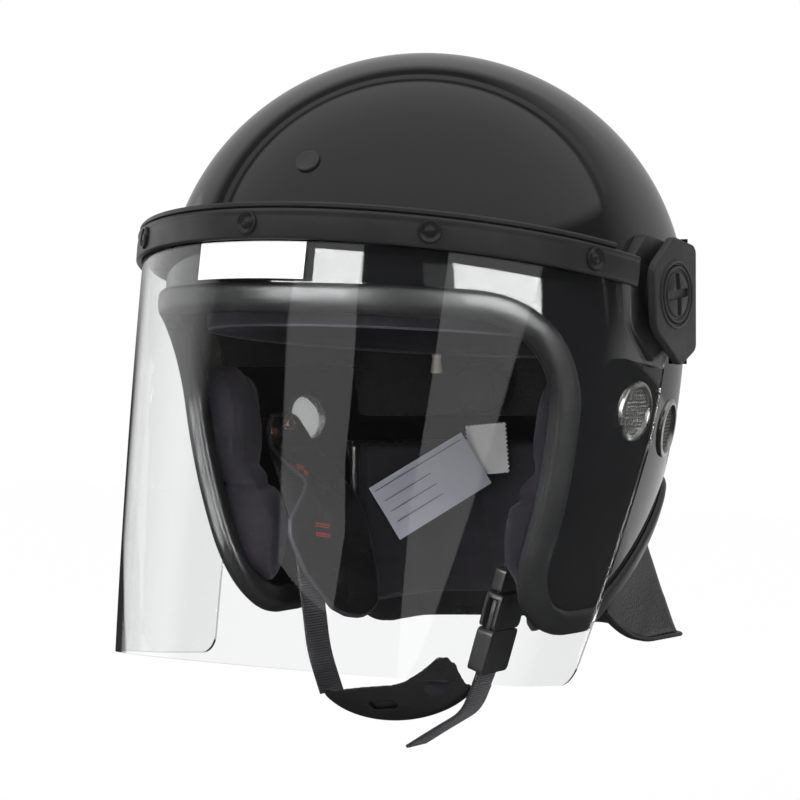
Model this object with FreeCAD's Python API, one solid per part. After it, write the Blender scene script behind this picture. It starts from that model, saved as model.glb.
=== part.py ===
import FreeCAD, Part
import math
import os

from FreeCAD import Base

os.makedirs("parts", exist_ok=True)

Vector = FreeCAD.Vector

# Riot helmet with a swing-up face shield. Millimetres, +Z up, the face looks along -Y and the
# wearer's left is +X. The origin is the midpoint between the two face-shield pivots.

# Shell: an ellipsoid dome above its widest level and a longer ellipsoid skirt below it
shell_half_width = 125.0
shell_half_length = 151.5
crown_height = 128.0
skirt_depth_axis = 225.0
widest_y = -1.0
widest_z = -4.0
shell_wall = 4.0

# Side outline of the shell's edge: brow, cheek, ear lobe and nape, each corner with its radius
brow_z = -5.0
brow_corner_y = -62.0
brow_corner_drop = 8.0
brow_corner_radius = 50.0
cheek_y = -55.0
cheek_radius = 42.0
lobe_z = -165.0
lobe_rear_y = 10.0
lobe_rear_radius = 22.0
nape_y = 84.0
nape_z = -104.0
nape_radius = 30.0
edge_lift = 3.0

# Rubber trim on the shell's edge
trim_cover = 11.0
trim_lip = 3.0
trim_thickness = 3.5

# Layers inside the shell
layer_gap = 0.3
liner_edge_gap = 2.0
liner_thickness = 16.0
liner_side_z = -38.0
liner_rear_z = -66.0
liner_rear_y = 74.0
pocket_gap = 1.0
fit_gap = 0.15
bore_gap = 0.2
bore_reach = 20.0
band_thickness = 9.0
band_height = 42.0
band_front_z = -14.0
band_rear_z = -34.0
crown_pad_thickness = 7.0
crown_pad_z = 58.0

# Pads on the inside of the cheeks: level, half height and share of the reach of each lobe
cheek_lobes = ((-74.0, 40.0, 0.69), (-124.0, 38.0, 0.8))
cheek_pad_y = -40.0
cheek_pad_reach = 32.0
cheek_pad_half_length = 27.0
cheek_edge_gap = 1.0

# Foam pads on the back of the liner
rear_pad_x = 41.0
rear_pad_z = -51.0
rear_pad_half_size = (19.0, 13.0, 15.0)

# Face shield: sections of its sheet square to a leaning axis
shield_lean = 9.5
shield_thickness = 2.6
shield_side_gap = 8.0
shield_front_gap = 6.0
shield_top = 11.0
shield_middle = -95.0
shield_bottom = -201.0
shield_middle_narrowing = 9.5
shield_bottom_narrowing = 27.0
shield_front_advance = 3.0
shield_rear = 13.0
shield_bottom_rear = -12.0
shield_toe_in = 1.5
shield_leg = 60.0

# Side outline of the sheet's rear edge, from its ears to its bottom, each corner with its radius
shield_edge = (
    (shield_rear, shield_top, 10.0),
    (shield_rear, -70.0, 60.0),
    (shield_bottom_rear, shield_bottom + 8.0, 14.0),
    (-60.0, shield_bottom + 5.0, 40.0),
)

# Moulded strip along the top of the face shield, its seal, screws and badge
strip_thickness = 3.2
strip_height = 15.0
strip_rise = 1.5
strip_gap = 0.2
strip_half_angle = 85.5
seal_rise = 3.0
seal_clearance = 0.5
seal_back_gap = 1.4
seal_lip_step = 0.6
seal_skirt_lift = 5.0
seal_end_y = -26.0
screw_angles = (-72.0, -37.0, 0.0, 37.0, 72.0)
screw_head_diameter = 11.0
screw_head_height = 1.6
screw_shank_diameter = 4.0
screw_tip = 0.5
nut_diameter = 8.0
nut_height = 2.4
nut_stand = 0.7
badge_half_angle = 13.0
badge_height = 18.0
badge_thickness = 0.3
badge_gap = 0.05
badge_top_gap = 0.5

# Face-shield pivots
bush_diameter = 12.0
bush_stand = 0.5
stud_diameter = 6.0
stud_tip = 1.8
stud_head_diameter = 11.0
stud_head_x = -12.0
stud_head_thickness = 2.0
pivot_bore_start = 90.0
running_clearance = 0.05
end_play = 0.1
base_rim = 1.5
base_sink = 9.0
post_wall = 3.0
base_drop = 5.4
post_drop = 2.0
knob_diameter = 28.0
knob_thickness = 4.0
knob_slot_width = 4.2
knob_slot_depth = 1.6
knob_slot_length = 20.8
knob_slot_turn = 8.0
knob_rim = 1.5
knob_groove_depth = 1.0
knob_core_diameter = 22.0
knob_cap = 1.9
knob_float = 0.3
knob_side_gap = 0.4
cover_thickness = 4.5
cover_gap = 0.2
well_floor = 1.2
washer_thickness = 1.0
washer_diameter = 22.0
spacer_y = 19.5
inner_plate_diameter = 26.0
inner_plate_thickness = 2.0
inner_plate_gap = 3.0
inner_plate_rim = 2.5

# Side outline of the pivot housing: y, z, corner radius, and the way each corner goes as it grows
cover_corners = (
    (-2.0, 28.0, 5.0, -1, 1),
    (21.0, 24.0, 5.0, 1, 1),
    (22.0, -27.0, 5.0, 1, -1),
    (6.0, -35.0, 5.0, 0, -1),
    (-20.0, -17.0, 9.0, -1, 0),
    (-23.0, 13.0, 9.0, -1, 0),
)

# Ear grilles, two on each side, and the chin-strap stud
grille_places = ((-6.0, -57.0), (44.0, -67.0))
grille_bore = 24.0
grille_flange = 3.0
grille_lip = 1.4
grille_sleeve = 1.1
grille_collar = 1.2
grille_bite = 1.5
grille_hole = 1.7
grille_pitch = 2.7
mesh_thickness = 0.8
mesh_depth = 1.6
strap_stud_y = 15.0
strap_stud_z = -72.0
strap_stud_diameter = 10.0
strap_stud_rise = 2.4
stud_shank = 5.0
strap_stack = 19.4
strap_nut_height = 3.3
strap_nut_diameter = 9.0
plug_x = 15.0
plug_z = 61.0
plug_diameter = 12.0
plug_stem_diameter = 8.0
plug_rise = 1.3
plug_dish_radius = 12.0
plug_dish_depth = 0.7

# Ear flaps and the fixed end of the strap, both on the strap stud
flap_thickness = 3.0
flap_y = 17.0
flap_width = 34.0
flap_depth = 8.0
flap_waist_x = 72.0
flap_waist_z = -108.0
flap_bottom_x = 62.0
flap_bottom_z = -162.0
anchor_depth = 2.6

# Small pieces at the back of the head space
card_centre = Vector(-46.0, 71.5, -103.5)
card_along = Vector(30, 51, 31)
card_down = Vector(16, 9, -27)
card_length = 64.0
card_width = 33.0
card_thickness = 0.5
tag_centre = Vector(-28.0, 101.6, -84.0)
tag_length = 24.0
tag_width = 28.0
tag_thickness = 1.0
toggle_x = -60.0
toggle_diameter = 7.0
toggle_height = 11.0

# Neck guard
guard_thickness = 5.0
guard_side_y = 42.0
guard_corner_y = 85.0
guard_top_z = -80.0
guard_bottom_z = -176.0
guard_flare = 20.0
curtain_hang = 1.0
side_turn_in = 0.25
corner_turn_out = 0.35
corner_sweep = 1.4
rail_height = 11.0
rail_reach = 20.0
curtain_gap = 1.0
nape_pad_thickness = 6.0
nape_pad_rise = 10.0

# Chin strap
webbing_width = 20.0
webbing_thickness = 1.8
strap_y = -20.0
strap_exit_z = -124.0
strap_open_z = -130.0
strap_top_rise = 6.0
swing_gap = 0.4
far_strap_bend = (-56.5, -186.0)
far_strap_end = (-48.0, -207.0)
tail_points = ((38.0, -209.6), (20.0, -220.3), (5.0, -229.6))
buckle_x = 54.0
buckle_z = -166.0
strap_exit_x = math.hypot(buckle_x, strap_open_z - buckle_z)
buckle_lean = math.degrees(math.atan2(strap_open_z - buckle_z, buckle_x + strap_exit_x))
buckle_width = 25.0
buckle_depth = 9.0
female_length = 19.0
male_length = 23.0
prong_length = 15.0
prong_width = 4.2
prong_depth = 2.6
prong_travel = 2.0
cup_half_width = 52.0
cup_half_depth = 27.0
cup_height = 31.0
cup_wall = 2.6
cup_y = -26.0
cup_z = -186.0
cup_roll = 8.0

far = 230.0


def export(shape, name):
    """Write one sub-part and report how many closed solids it holds."""
    shape.exportStep("parts/" + name + ".step")
    print(name, len(shape.Solids), round(shape.Volume, 1), shape.isValid())


def group(shapes):
    return Part.makeCompound(shapes)


def mirrored(shape):
    return shape.mirror(Vector(0, 0, 0), Vector(1, 0, 0))


def box(x0, x1, y0, y1, z0, z1):
    return Part.makeBox(x1 - x0, y1 - y0, z1 - z0, Vector(x0, y0, z0))


def half_ellipsoid(a, b, c, upper):
    """Half of an ellipsoid on the shell's centre, above or below its widest level."""
    angles = (0, 90) if upper else (-90, 0)
    ball = Part.makeSphere(1.0, Vector(0, 0, 0), Vector(0, 0, 1), angles[0], angles[1], 360)
    matrix = Base.Matrix()
    matrix.scale(a, b, c)
    solid = ball.transformGeometry(matrix)
    solid.translate(Vector(0, widest_y, widest_z))
    return solid


def body_of_shell(offset):
    """Solid inside the shell's outer face, grown by offset."""
    a = shell_half_width + offset
    b = shell_half_length + offset
    top = half_ellipsoid(a, b, crown_height + offset, True)
    skirt = half_ellipsoid(a, b, skirt_depth_axis + offset, False)
    return top.fuse(skirt)


def layer(outer, inner):
    """Closed layer between two offsets of the shell's outer face."""
    return body_of_shell(outer).cut(body_of_shell(inner))


def wall_x(y, z, offset=0.0):
    """X of the shell's outer face at y and z, grown by offset."""
    a = shell_half_width + offset
    b = shell_half_length + offset
    c = (crown_height if z > widest_z else skirt_depth_axis) + offset
    return a * math.sqrt(1 - ((y - widest_y) / b) ** 2 - ((z - widest_z) / c) ** 2)


def wall_y(x, z, offset=0.0):
    """Y of the shell's front face at x and z, grown by offset."""
    a = shell_half_width + offset
    b = shell_half_length + offset
    c = (crown_height if z > widest_z else skirt_depth_axis) + offset
    return widest_y - b * math.sqrt(1 - (x / a) ** 2 - ((z - widest_z) / c) ** 2)


def wall_normal(x, y, z):
    c = crown_height if z > widest_z else skirt_depth_axis
    normal = Vector(x / shell_half_width ** 2, (y - widest_y) / shell_half_length ** 2, (z - widest_z) / c ** 2)
    return normal.normalize()


def rounded_outline(corners):
    """Closed wire through corners (point, radius), each turned into an arc of that radius."""
    edges = []
    count = len(corners)
    starts = []
    ends = []
    for i in range(count):
        point, radius = corners[i]
        before = (corners[i - 1][0] - point).normalize()
        after = (corners[(i + 1) % count][0] - point).normalize()
        if radius == 0:
            starts.append(point)
            ends.append(point)
            continue
        half = before.getAngle(after) / 2
        reach = radius / math.tan(half)
        middle = (before + after).normalize()
        centre = point + middle * (radius / math.sin(half))
        starts.append(point + before * reach)
        ends.append(point + after * reach)
        edges.append(Part.Arc(starts[i], centre - middle * radius, ends[i]).toShape())
    for i in range(count):
        a = ends[i]
        b = starts[(i + 1) % count]
        if a.distanceToPoint(b) > 1e-6:
            edges.append(Part.makeLine(a, b))
    return Part.Wire(Part.__sortEdges__(edges))


def kept_side(offset=0.0):
    """Prism across the helmet that keeps what lies above the shell's edge line, grown by offset."""
    corners = [
        (Vector(0, -far, brow_z + edge_lift), 0),
        (Vector(0, brow_corner_y, brow_z - brow_corner_drop), brow_corner_radius),
        (Vector(0, cheek_y, lobe_z), cheek_radius),
        (Vector(0, lobe_rear_y, lobe_z), lobe_rear_radius),
        (Vector(0, nape_y, nape_z), nape_radius),
        (Vector(0, far, nape_z), 0),
        (Vector(0, far, far), 0),
        (Vector(0, -far, far), 0),
    ]
    face = Part.Face(rounded_outline(corners))
    if offset != 0:
        face = face.makeOffset2D(offset)
    face.translate(Vector(-far, 0, 0))
    return face.extrude(Vector(2 * far, 0, 0))


def cylinder(centre, direction, diameter, start, end):
    """Cylinder along direction from start to end, measured from centre."""
    unit = Vector(direction).normalize()
    return Part.makeCylinder(diameter / 2, end - start, centre + unit * start, unit)


def bore(centre, normal, diameter):
    """Cutter through whatever lies near a seat on the shell."""
    return cylinder(centre, normal, diameter, -bore_reach, bore_reach)


def pivot_bore(diameter, side=1):
    """Cutter along the pivot axis through everything on one side of the helmet."""
    return cylinder(Vector(0, 0, 0), Vector(side, 0, 0), diameter, pivot_bore_start, far)


def make_shell():
    solid = layer(0, -shell_wall).common(kept_side())
    for side in (1, -1):
        for y, z in grille_places:
            centre, normal = grille_seat(y, z, side)
            solid = solid.cut(bore(centre, normal, grille_bore + 2 * grille_sleeve + bore_gap))
        centre, normal = strap_stud_seat(side)
        solid = solid.cut(bore(centre, normal, stud_shank + bore_gap))
        solid = solid.cut(pivot_bore(stud_diameter + bore_gap, side))
    centre, normal = plug_seat()
    return solid.cut(bore(centre, normal, plug_stem_diameter + bore_gap))


def make_trim():
    band = kept_side(trim_lip).cut(kept_side(-trim_cover))
    rubber = layer(trim_thickness, -shell_wall - trim_thickness).common(band)
    return rubber.cut(layer(fit_gap, -shell_wall - fit_gap).common(kept_side(fit_gap)))


def make_liner():
    outer = -shell_wall - layer_gap
    zone = kept_side(-trim_cover - liner_edge_gap)
    sides = box(-far, far, -far, far, liner_side_z, far)
    rear = box(-far, far, liner_rear_y, far, liner_rear_z, far)
    foam = layer(outer, outer - liner_thickness).common(zone).common(sides.fuse(rear))
    across = Vector(-far, 0, 0)
    return foam.cut(cylinder(across, Vector(1, 0, 0), inner_plate_diameter + 2 * pocket_gap, 0, 2 * far))


def head_offset():
    """Offset of the liner's inner face, where the comfort pads lie."""
    return -shell_wall - layer_gap - liner_thickness - layer_gap


def make_headband():
    """Comfort band round the head: it hangs lower at the back than at the brow."""
    outer = head_offset()
    front = Vector(-far, -shell_half_length, band_front_z)
    rear = Vector(-far, shell_half_length, band_rear_z)
    rise = Vector(0, 0, band_height)
    sheet = Part.Face(Part.makePolygon([front, rear, rear + rise, front + rise, front]))
    slab = sheet.extrude(Vector(2 * far, 0, 0))
    return layer(outer, outer - band_thickness).common(slab)


def make_crown_pad():
    outer = head_offset()
    return layer(outer, outer - crown_pad_thickness).common(box(-far, far, -far, far, crown_pad_z, far))


def pillow(centre, half_x, half_y, half_z):
    """Ellipsoid lobe of a cushion."""
    ball = Part.makeSphere(1.0)
    matrix = Base.Matrix()
    matrix.scale(half_x, half_y, half_z)
    lobe = ball.transformGeometry(matrix)
    lobe.translate(centre)
    return lobe


def make_cheek_pad():
    """Two swelling lobes, one over the other, on the inside of the cheek."""
    inside = body_of_shell(-shell_wall - layer_gap)
    zone = kept_side(-trim_cover - cheek_edge_gap)
    lobes = []
    for z, half_z, share in cheek_lobes:
        x = wall_x(cheek_pad_y, z, -shell_wall)
        lobes.append(pillow(Vector(x, cheek_pad_y, z), cheek_pad_reach * share, cheek_pad_half_length, half_z))
    pad = lobes[0].fuse(lobes[1]).common(inside).common(zone)
    y, z = grille_places[0]
    centre, normal = grille_seat(y, z, 1)
    pad = pad.cut(cylinder(centre, normal, grille_bore + grille_flange + 2 * pocket_gap, -2 * bore_reach, bore_reach))
    return pad.cut(box(-far, far, -far, far, liner_side_z - layer_gap, far))


def make_rear_pads():
    """Two crowned foam pads on the back of the liner."""
    pads = []
    inside = body_of_shell(head_offset())
    for side in (1, -1):
        y = 2 * widest_y - wall_y(rear_pad_x, rear_pad_z, head_offset())
        lobe = pillow(Vector(side * rear_pad_x, y, rear_pad_z), *rear_pad_half_size)
        pads.append(lobe.common(inside).cut(make_headband_zone()))
    return group(pads)


def band_level(y):
    """Level of the headband's lower edge at y."""
    share = (y + shell_half_length) / (2 * shell_half_length)
    return band_front_z + share * (band_rear_z - band_front_z)


def make_headband_zone():
    """Block that the headband fills at the back, with its gap."""
    return box(-far, far, 0, far, band_rear_z - layer_gap, far)


def grille_seat(y, z, side):
    """Centre on the shell's outer face and the outward direction of one ear grille."""
    x = wall_x(y, z)
    normal = wall_normal(x, y, z)
    return Vector(side * x, y, z), Vector(side * normal.x, normal.y, normal.z)


def grille_rim(y, z, side):
    centre, normal = grille_seat(y, z, side)
    back = -shell_wall - grille_collar
    sleeve = cylinder(centre, normal, grille_bore + 2 * grille_sleeve, back, grille_lip)
    outer = cylinder(centre, normal, grille_bore + 2 * grille_flange, -grille_bite, grille_lip)
    inner = cylinder(centre, normal, grille_bore + grille_flange, back, -shell_wall)
    outer = outer.cut(body_of_shell(fit_gap))
    ring = sleeve.fuse(outer).fuse(inner.common(body_of_shell(-shell_wall - fit_gap)))
    return ring.cut(bore(centre, normal, grille_bore))


def grille_mesh(y, z, side):
    """Round grid of square gaps in one thin sheet."""
    centre, normal = grille_seat(y, z, side)
    radius = grille_bore / 2
    holes = []
    steps = int(radius / grille_pitch)
    for i in range(-steps, steps + 1):
        for j in range(-steps, steps + 1):
            u = i * grille_pitch
            v = j * grille_pitch
            if math.hypot(u, v) > radius - grille_hole:
                continue
            h = grille_hole / 2
            ring = [Vector(u - h, v - h, 0), Vector(u + h, v - h, 0), Vector(u + h, v + h, 0), Vector(u - h, v + h, 0)]
            holes.append(Part.makePolygon(ring + ring[:1]))
    rim = Part.Wire(Part.makeCircle(radius - running_clearance))
    face = Part.makeFace([rim] + holes, "Part::FaceMakerBullseye")
    sheet = face.extrude(Vector(0, 0, mesh_thickness))
    sheet.Placement = FreeCAD.Placement(centre - normal * mesh_depth, FreeCAD.Rotation(Vector(0, 0, 1), normal))
    return sheet


def strap_stud_seat(side):
    x = wall_x(strap_stud_y, strap_stud_z)
    normal = wall_normal(x, strap_stud_y, strap_stud_z)
    return Vector(side * x, strap_stud_y, strap_stud_z), Vector(side * normal.x, normal.y, normal.z)


def domed_head(centre, normal, diameter, height, flat):
    """Round head with a flat rim and a domed top."""
    disc = cylinder(centre, normal, diameter, flat, height * 0.5 + flat)
    radius = (diameter / 2) ** 2 / height + height / 4
    unit = Vector(normal).normalize()
    ball = Part.makeSphere(radius, centre + unit * (height + flat - radius))
    cap = cylinder(centre, normal, diameter * 0.92, flat + height * 0.4, height * 2 + flat)
    return disc.fuse(cap.common(ball))


def make_strap_stud(side):
    centre, normal = strap_stud_seat(side)
    head = domed_head(centre, normal, strap_stud_diameter, strap_stud_rise, 0.0).cut(body_of_shell(0.0))
    return head.fuse(cylinder(centre, normal, stud_shank, -strap_stack, 1.0))


def make_strap_nut(side):
    centre, normal = strap_stud_seat(side)
    nut = cylinder(centre, normal, strap_nut_diameter, -strap_stack, strap_nut_height - strap_stack)
    return nut.cut(bore(centre, normal, stud_shank))


def plug_seat():
    y = wall_y(plug_x, plug_z)
    return Vector(plug_x, y, plug_z), wall_normal(plug_x, y, plug_z)


def make_plug():
    """Push-in blanking plug with a dished face."""
    centre, normal = plug_seat()
    head = cylinder(centre, normal, plug_diameter, -plug_rise, plug_rise).cut(body_of_shell(0.02))
    dish = Part.makeSphere(plug_dish_radius, centre + normal * (plug_dish_radius + plug_rise - plug_dish_depth))
    stem = cylinder(centre, normal, plug_stem_diameter, -shell_wall, plug_rise - 2 * plug_dish_depth + 0.5)
    return head.fuse(stem).cut(dish)


def lean(shape):
    """Turn a shape made on an upright axis to the face shield's lean."""
    copy = shape.copy()
    copy.rotate(Vector(0, 0, 0), Vector(1, 0, 0), -shield_lean)
    return copy


def shield_radius():
    """Outer radius of the sheet's front curve at its top."""
    return shell_half_width + shield_side_gap + shield_thickness


def shield_front():
    return shell_half_length + shield_front_gap


def shield_section(height, narrowing, inset):
    """U-shaped section of the sheet's outer face, moved in by inset: a half circle and two legs."""
    radius = shield_radius() - narrowing
    advance = shield_front_advance * narrowing / shield_bottom_narrowing
    centre_y = radius - shield_front() - advance
    outer = radius - inset
    front = Vector(0, centre_y - outer, height)
    diagonal = outer * math.sqrt(0.5)
    left = Vector(outer, centre_y, height)
    right = Vector(-outer, centre_y, height)
    left_end = Vector(outer - shield_toe_in, shield_leg, height)
    right_end = Vector(shield_toe_in - outer, shield_leg, height)
    left_arc = Part.Arc(left, Vector(diagonal, centre_y - diagonal, height), front).toShape()
    right_arc = Part.Arc(front, Vector(-diagonal, centre_y - diagonal, height), right).toShape()
    legs = (Part.makeLine(left_end, left), Part.makeLine(right, right_end))
    closing = Part.makeLine(right_end, left_end)
    return Part.Wire([legs[0], left_arc, right_arc, legs[1], closing])


def shield_block(inset):
    """Solid inside the sheet's outer face, moved in by inset, on an upright axis."""
    heights = (shield_top, shield_middle, shield_bottom)
    narrowings = (0.0, shield_middle_narrowing, shield_bottom_narrowing)
    sections = [shield_section(height, narrowing, inset) for height, narrowing in zip(heights, narrowings)]
    return Part.makeLoft(sections, True, False)


def shield_side_outline():
    """Side view of the sheet, as a prism across the helmet, on the upright axis."""
    corners = [(Vector(0, -far, shield_top), 0)]
    corners += [(Vector(0, y, z), radius) for y, z, radius in shield_edge]
    corners.append((Vector(0, -far, shield_bottom + 0.5), 0))
    face = Part.Face(rounded_outline(corners))
    face.translate(Vector(-far, 0, 0))
    return face.extrude(Vector(2 * far, 0, 0))


def make_shield():
    sheet = shield_block(0).cut(shield_block(shield_thickness))
    sheet = lean(sheet.common(shield_side_outline()))
    sheet = sheet.cut(cylinder(Vector(-far, 0, 0), Vector(1, 0, 0), bush_diameter + 2 * running_clearance, 0, 2 * far))
    for angle in screw_angles:
        centre, normal = screw_seat(angle)
        sheet = sheet.cut(bore(centre, normal, screw_shank_diameter + bore_gap))
    return sheet


def arc_ring(inner, outer, low, high, half_angle):
    """Part of a ring about the top curve's centre, between two radii and two heights."""
    centre_y = shield_radius() - shield_front()
    ring = Part.makeCylinder(outer, high - low, Vector(0, centre_y, low), Vector(0, 0, 1), 2 * half_angle)
    ring.rotate(Vector(0, centre_y, 0), Vector(0, 0, 1), -90 - half_angle)
    if inner > 0:
        ring = ring.cut(Part.makeCylinder(inner, high - low, Vector(0, centre_y, low)))
    return ring


def strip_level():
    """Lowest and highest level of the moulded strip on the upright axis."""
    return shield_top + strip_rise - strip_height, shield_top + strip_rise


def make_strip():
    low, high = strip_level()
    radius = shield_radius()
    ring = arc_ring(radius + strip_gap, radius + strip_thickness, low, high, strip_half_angle)
    ring = lean(ring)
    for angle in screw_angles:
        centre, normal = screw_seat(angle)
        ring = ring.cut(bore(centre, normal, screw_shank_diameter + bore_gap))
    return ring


def make_seal():
    """Rubber between the strip and the shell's forehead."""
    low, high = strip_level()
    radius = shield_radius()
    skirt = arc_ring(0, radius - shield_thickness - seal_back_gap, low + seal_skirt_lift, high, strip_half_angle)
    lip = arc_ring(0, radius + strip_thickness - seal_lip_step, high, high + seal_rise, strip_half_angle)
    rubber = lean(skirt.fuse(lip)).cut(body_of_shell(seal_clearance))
    rubber = rubber.cut(box(-far, far, seal_end_y, far, -far, far))
    for angle in screw_angles:
        centre, normal = screw_seat(angle)
        rubber = rubber.cut(bore(centre, normal, nut_diameter + pocket_gap))
    return rubber


def screw_seat(angle):
    """Centre on the strip's outer face and the outward direction of one screw."""
    turn = math.radians(angle)
    radius = shield_radius() + strip_thickness
    centre_y = shield_radius() - shield_front()
    low, high = strip_level()
    seat = Vector(radius * math.sin(turn), centre_y - radius * math.cos(turn), (low + high) / 2)
    normal = Vector(math.sin(turn), -math.cos(turn), 0)
    rotation = FreeCAD.Rotation(Vector(1, 0, 0), -shield_lean)
    return rotation.multVec(seat), rotation.multVec(normal)


def make_screw(angle):
    centre, normal = screw_seat(angle)
    head = domed_head(centre, normal, screw_head_diameter, screw_head_height, 0.05)
    length = strip_thickness + shield_thickness + nut_height + screw_tip
    return head.fuse(cylinder(centre, normal, screw_shank_diameter, -length, 0.3))


def make_nut(angle):
    centre, normal = screw_seat(angle)
    depth = strip_thickness + shield_thickness + nut_stand
    nut = cylinder(centre, normal, nut_diameter, -depth - nut_height, -depth)
    return nut.cut(bore(centre, normal, screw_shank_diameter))


def make_badge():
    """Blank white label on the sheet, just under the strip."""
    low, high = strip_level()
    radius = shield_radius() + badge_gap
    top = low - badge_top_gap
    label = arc_ring(radius, radius + badge_thickness, low - badge_height, top, badge_half_angle)
    return lean(label.cut(shield_block(-badge_gap)))


def pivot_plane():
    """X of the sheet's inner and outer face at the pivot."""
    outer = shield_radius()
    return outer - shield_thickness, outer


def cover_outline(grow):
    """Six-sided housing outline in side view, grown all round."""
    corners = [(Vector(0, y + grow_y * grow, z + grow_z * grow), r) for y, z, r, grow_y, grow_z in cover_corners]
    return Part.Face(rounded_outline(corners))


def plate(face, x0, x1):
    solid = face.copy()
    solid.translate(Vector(x0, 0, 0))
    return solid.extrude(Vector(x1 - x0, 0, 0))


def on_pivot(diameter, start, end):
    """Cylinder on the left pivot axis."""
    return cylinder(Vector(0, 0, 0), Vector(1, 0, 0), diameter, start, end)


def make_pivot_base():
    """Boss that is screwed to the shell's side and carries the pivot bush."""
    inner, outer = pivot_plane()
    base = plate(cover_outline(base_rim), wall_x(0, 0) - base_sink, inner - base_drop)
    post = on_pivot(bush_diameter + 2 * post_wall, wall_x(0, 0) - base_sink, inner - post_drop)
    base = base.fuse(post).cut(body_of_shell(fit_gap))
    return base.cut(pivot_bore(stud_diameter + bore_gap))


def make_pivot_bush():
    inner, outer = pivot_plane()
    tube = on_pivot(bush_diameter, inner - post_drop, outer + bush_stand)
    return tube.cut(pivot_bore(stud_diameter + 0.02))


def make_pivot_washer():
    """Friction washer between the sheet and the knob's cover."""
    inner, outer = pivot_plane()
    start = outer + bush_stand + end_play
    ring = on_pivot(washer_diameter, start, start + washer_thickness)
    return ring.cut(pivot_bore(stud_diameter + 2 * bore_gap))


def cover_levels():
    inner, outer = pivot_plane()
    start = outer + bush_stand + end_play + washer_thickness + cover_gap
    return start, start + cover_thickness


def make_pivot_cover():
    """Housing cover with a round well for the knob and a spacer wall behind the sheet's ear."""
    start, end = cover_levels()
    inner, outer = pivot_plane()
    cover = plate(cover_outline(0.0), start, end)
    wall = plate(cover_outline(0.0), inner - base_drop, start).common(box(0, far, spacer_y, far, -far, far))
    well = on_pivot(knob_diameter + 2 * knob_side_gap, start + well_floor, far)
    return cover.fuse(wall).cut(well).cut(pivot_bore(stud_diameter + 2 * bore_gap))


def make_pivot_stud():
    start, end = cover_levels()
    head_start = wall_x(0, 0) + stud_head_x
    head_end = head_start + stud_head_thickness
    return on_pivot(stud_diameter, head_end, end - stud_tip).fuse(on_pivot(stud_head_diameter, head_start, head_end))


def make_inner_plate():
    """Plate inside the shell that the pivot stud pulls against."""
    x1 = wall_x(0, 0) - shell_wall - inner_plate_gap
    disc = on_pivot(inner_plate_diameter, x1 - inner_plate_thickness, x1 + inner_plate_rim)
    disc = disc.common(body_of_shell(-shell_wall - fit_gap))
    return disc.cut(pivot_bore(stud_diameter + bore_gap / 2))


def make_knob():
    """Clamping knob: a disc with a crossed grip slot, turned on the stud."""
    start, end = cover_levels()
    x0 = start + well_floor + knob_float
    x1 = x0 + knob_thickness
    disc = on_pivot(knob_diameter, x0, x1)
    disc = disc.cut(on_pivot(knob_diameter - 2 * knob_rim, x1 - knob_groove_depth, x1))
    disc = disc.fuse(on_pivot(knob_core_diameter, x0, x1))
    reach = knob_slot_length / 2
    half = knob_slot_width / 2
    slot = box(x1 - knob_slot_depth, x1, -reach, reach, -half, half)
    slot = slot.fuse(box(x1 - knob_slot_depth, x1, -half, half, -reach, reach))
    slot.rotate(Vector(0, 0, 0), Vector(1, 0, 0), knob_slot_turn)
    return disc.cut(slot).cut(on_pivot(stud_diameter + 2 * running_clearance, x0, x1 - knob_cap))


def edge_level(y):
    """Level of the shell's edge where it rises from the ear lobe to the nape."""
    share = (y - lobe_rear_y) / (nape_y - lobe_rear_y)
    return lobe_z + share * (nape_z - lobe_z)


def curtain_outline(inset, flare):
    """Half outline of a hanging curtain seen from above: its side end, its corner and its rear."""
    inside = -shell_wall - trim_thickness - curtain_gap - inset
    below = trim_lip + curtain_hang
    side_x = wall_x(guard_side_y, edge_level(guard_side_y) - below, inside)
    corner_x = wall_x(guard_corner_y, nape_z - below, inside)
    rear_y = 2 * widest_y - wall_y(0, nape_z - below, inside)
    side = (side_x - side_turn_in * flare, guard_side_y)
    corner = (corner_x + corner_turn_out * flare, guard_corner_y + corner_sweep * flare - inset / 3)
    return side, corner, rear_y + flare


def curtain_section(z, inset, thickness, flare):
    """Closed U-shaped section of a curtain that hangs inside the shell's rear edge."""
    side_o, corner_o, rear_o = curtain_outline(inset, flare)
    side_i, corner_i, rear_i = curtain_outline(inset + thickness, flare)
    outer = [Vector(side_o[0], side_o[1], z), Vector(corner_o[0], corner_o[1], z)]
    outer += [Vector(-p.x, p.y, z) for p in outer[::-1]]
    inner = [Vector(side_i[0], side_i[1], z), Vector(corner_i[0], corner_i[1], z)]
    inner += [Vector(-p.x, p.y, z) for p in inner[::-1]]
    edges = [
        Part.makeLine(outer[0], outer[1]),
        Part.Arc(outer[1], Vector(0, rear_o, z), outer[2]).toShape(),
        Part.makeLine(outer[2], outer[3]),
        Part.makeLine(outer[3], inner[3]),
        Part.makeLine(inner[3], inner[2]),
        Part.Arc(inner[2], Vector(0, rear_i, z), inner[1]).toShape(),
        Part.makeLine(inner[1], inner[0]),
        Part.makeLine(inner[0], outer[0]),
    ]
    return Part.Wire(edges)


def make_curtain(inset, thickness, top, bottom, flare):
    levels = ((top, 0.0), (nape_z - trim_lip - curtain_hang, 0.0), (bottom, flare))
    sections = [curtain_section(z, inset, thickness, f) for z, f in levels]
    return Part.makeLoft(sections, True, True)


def make_guard():
    return make_curtain(0.0, guard_thickness, guard_top_z, guard_bottom_z, guard_flare)


def make_nape_pad():
    bottom = guard_bottom_z + nape_pad_rise
    hang = nape_z - trim_lip - curtain_hang
    flare = guard_flare * (hang - bottom) / (hang - guard_bottom_z)
    return make_curtain(guard_thickness + 2 * layer_gap, nape_pad_thickness, guard_top_z, bottom, flare)


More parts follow.
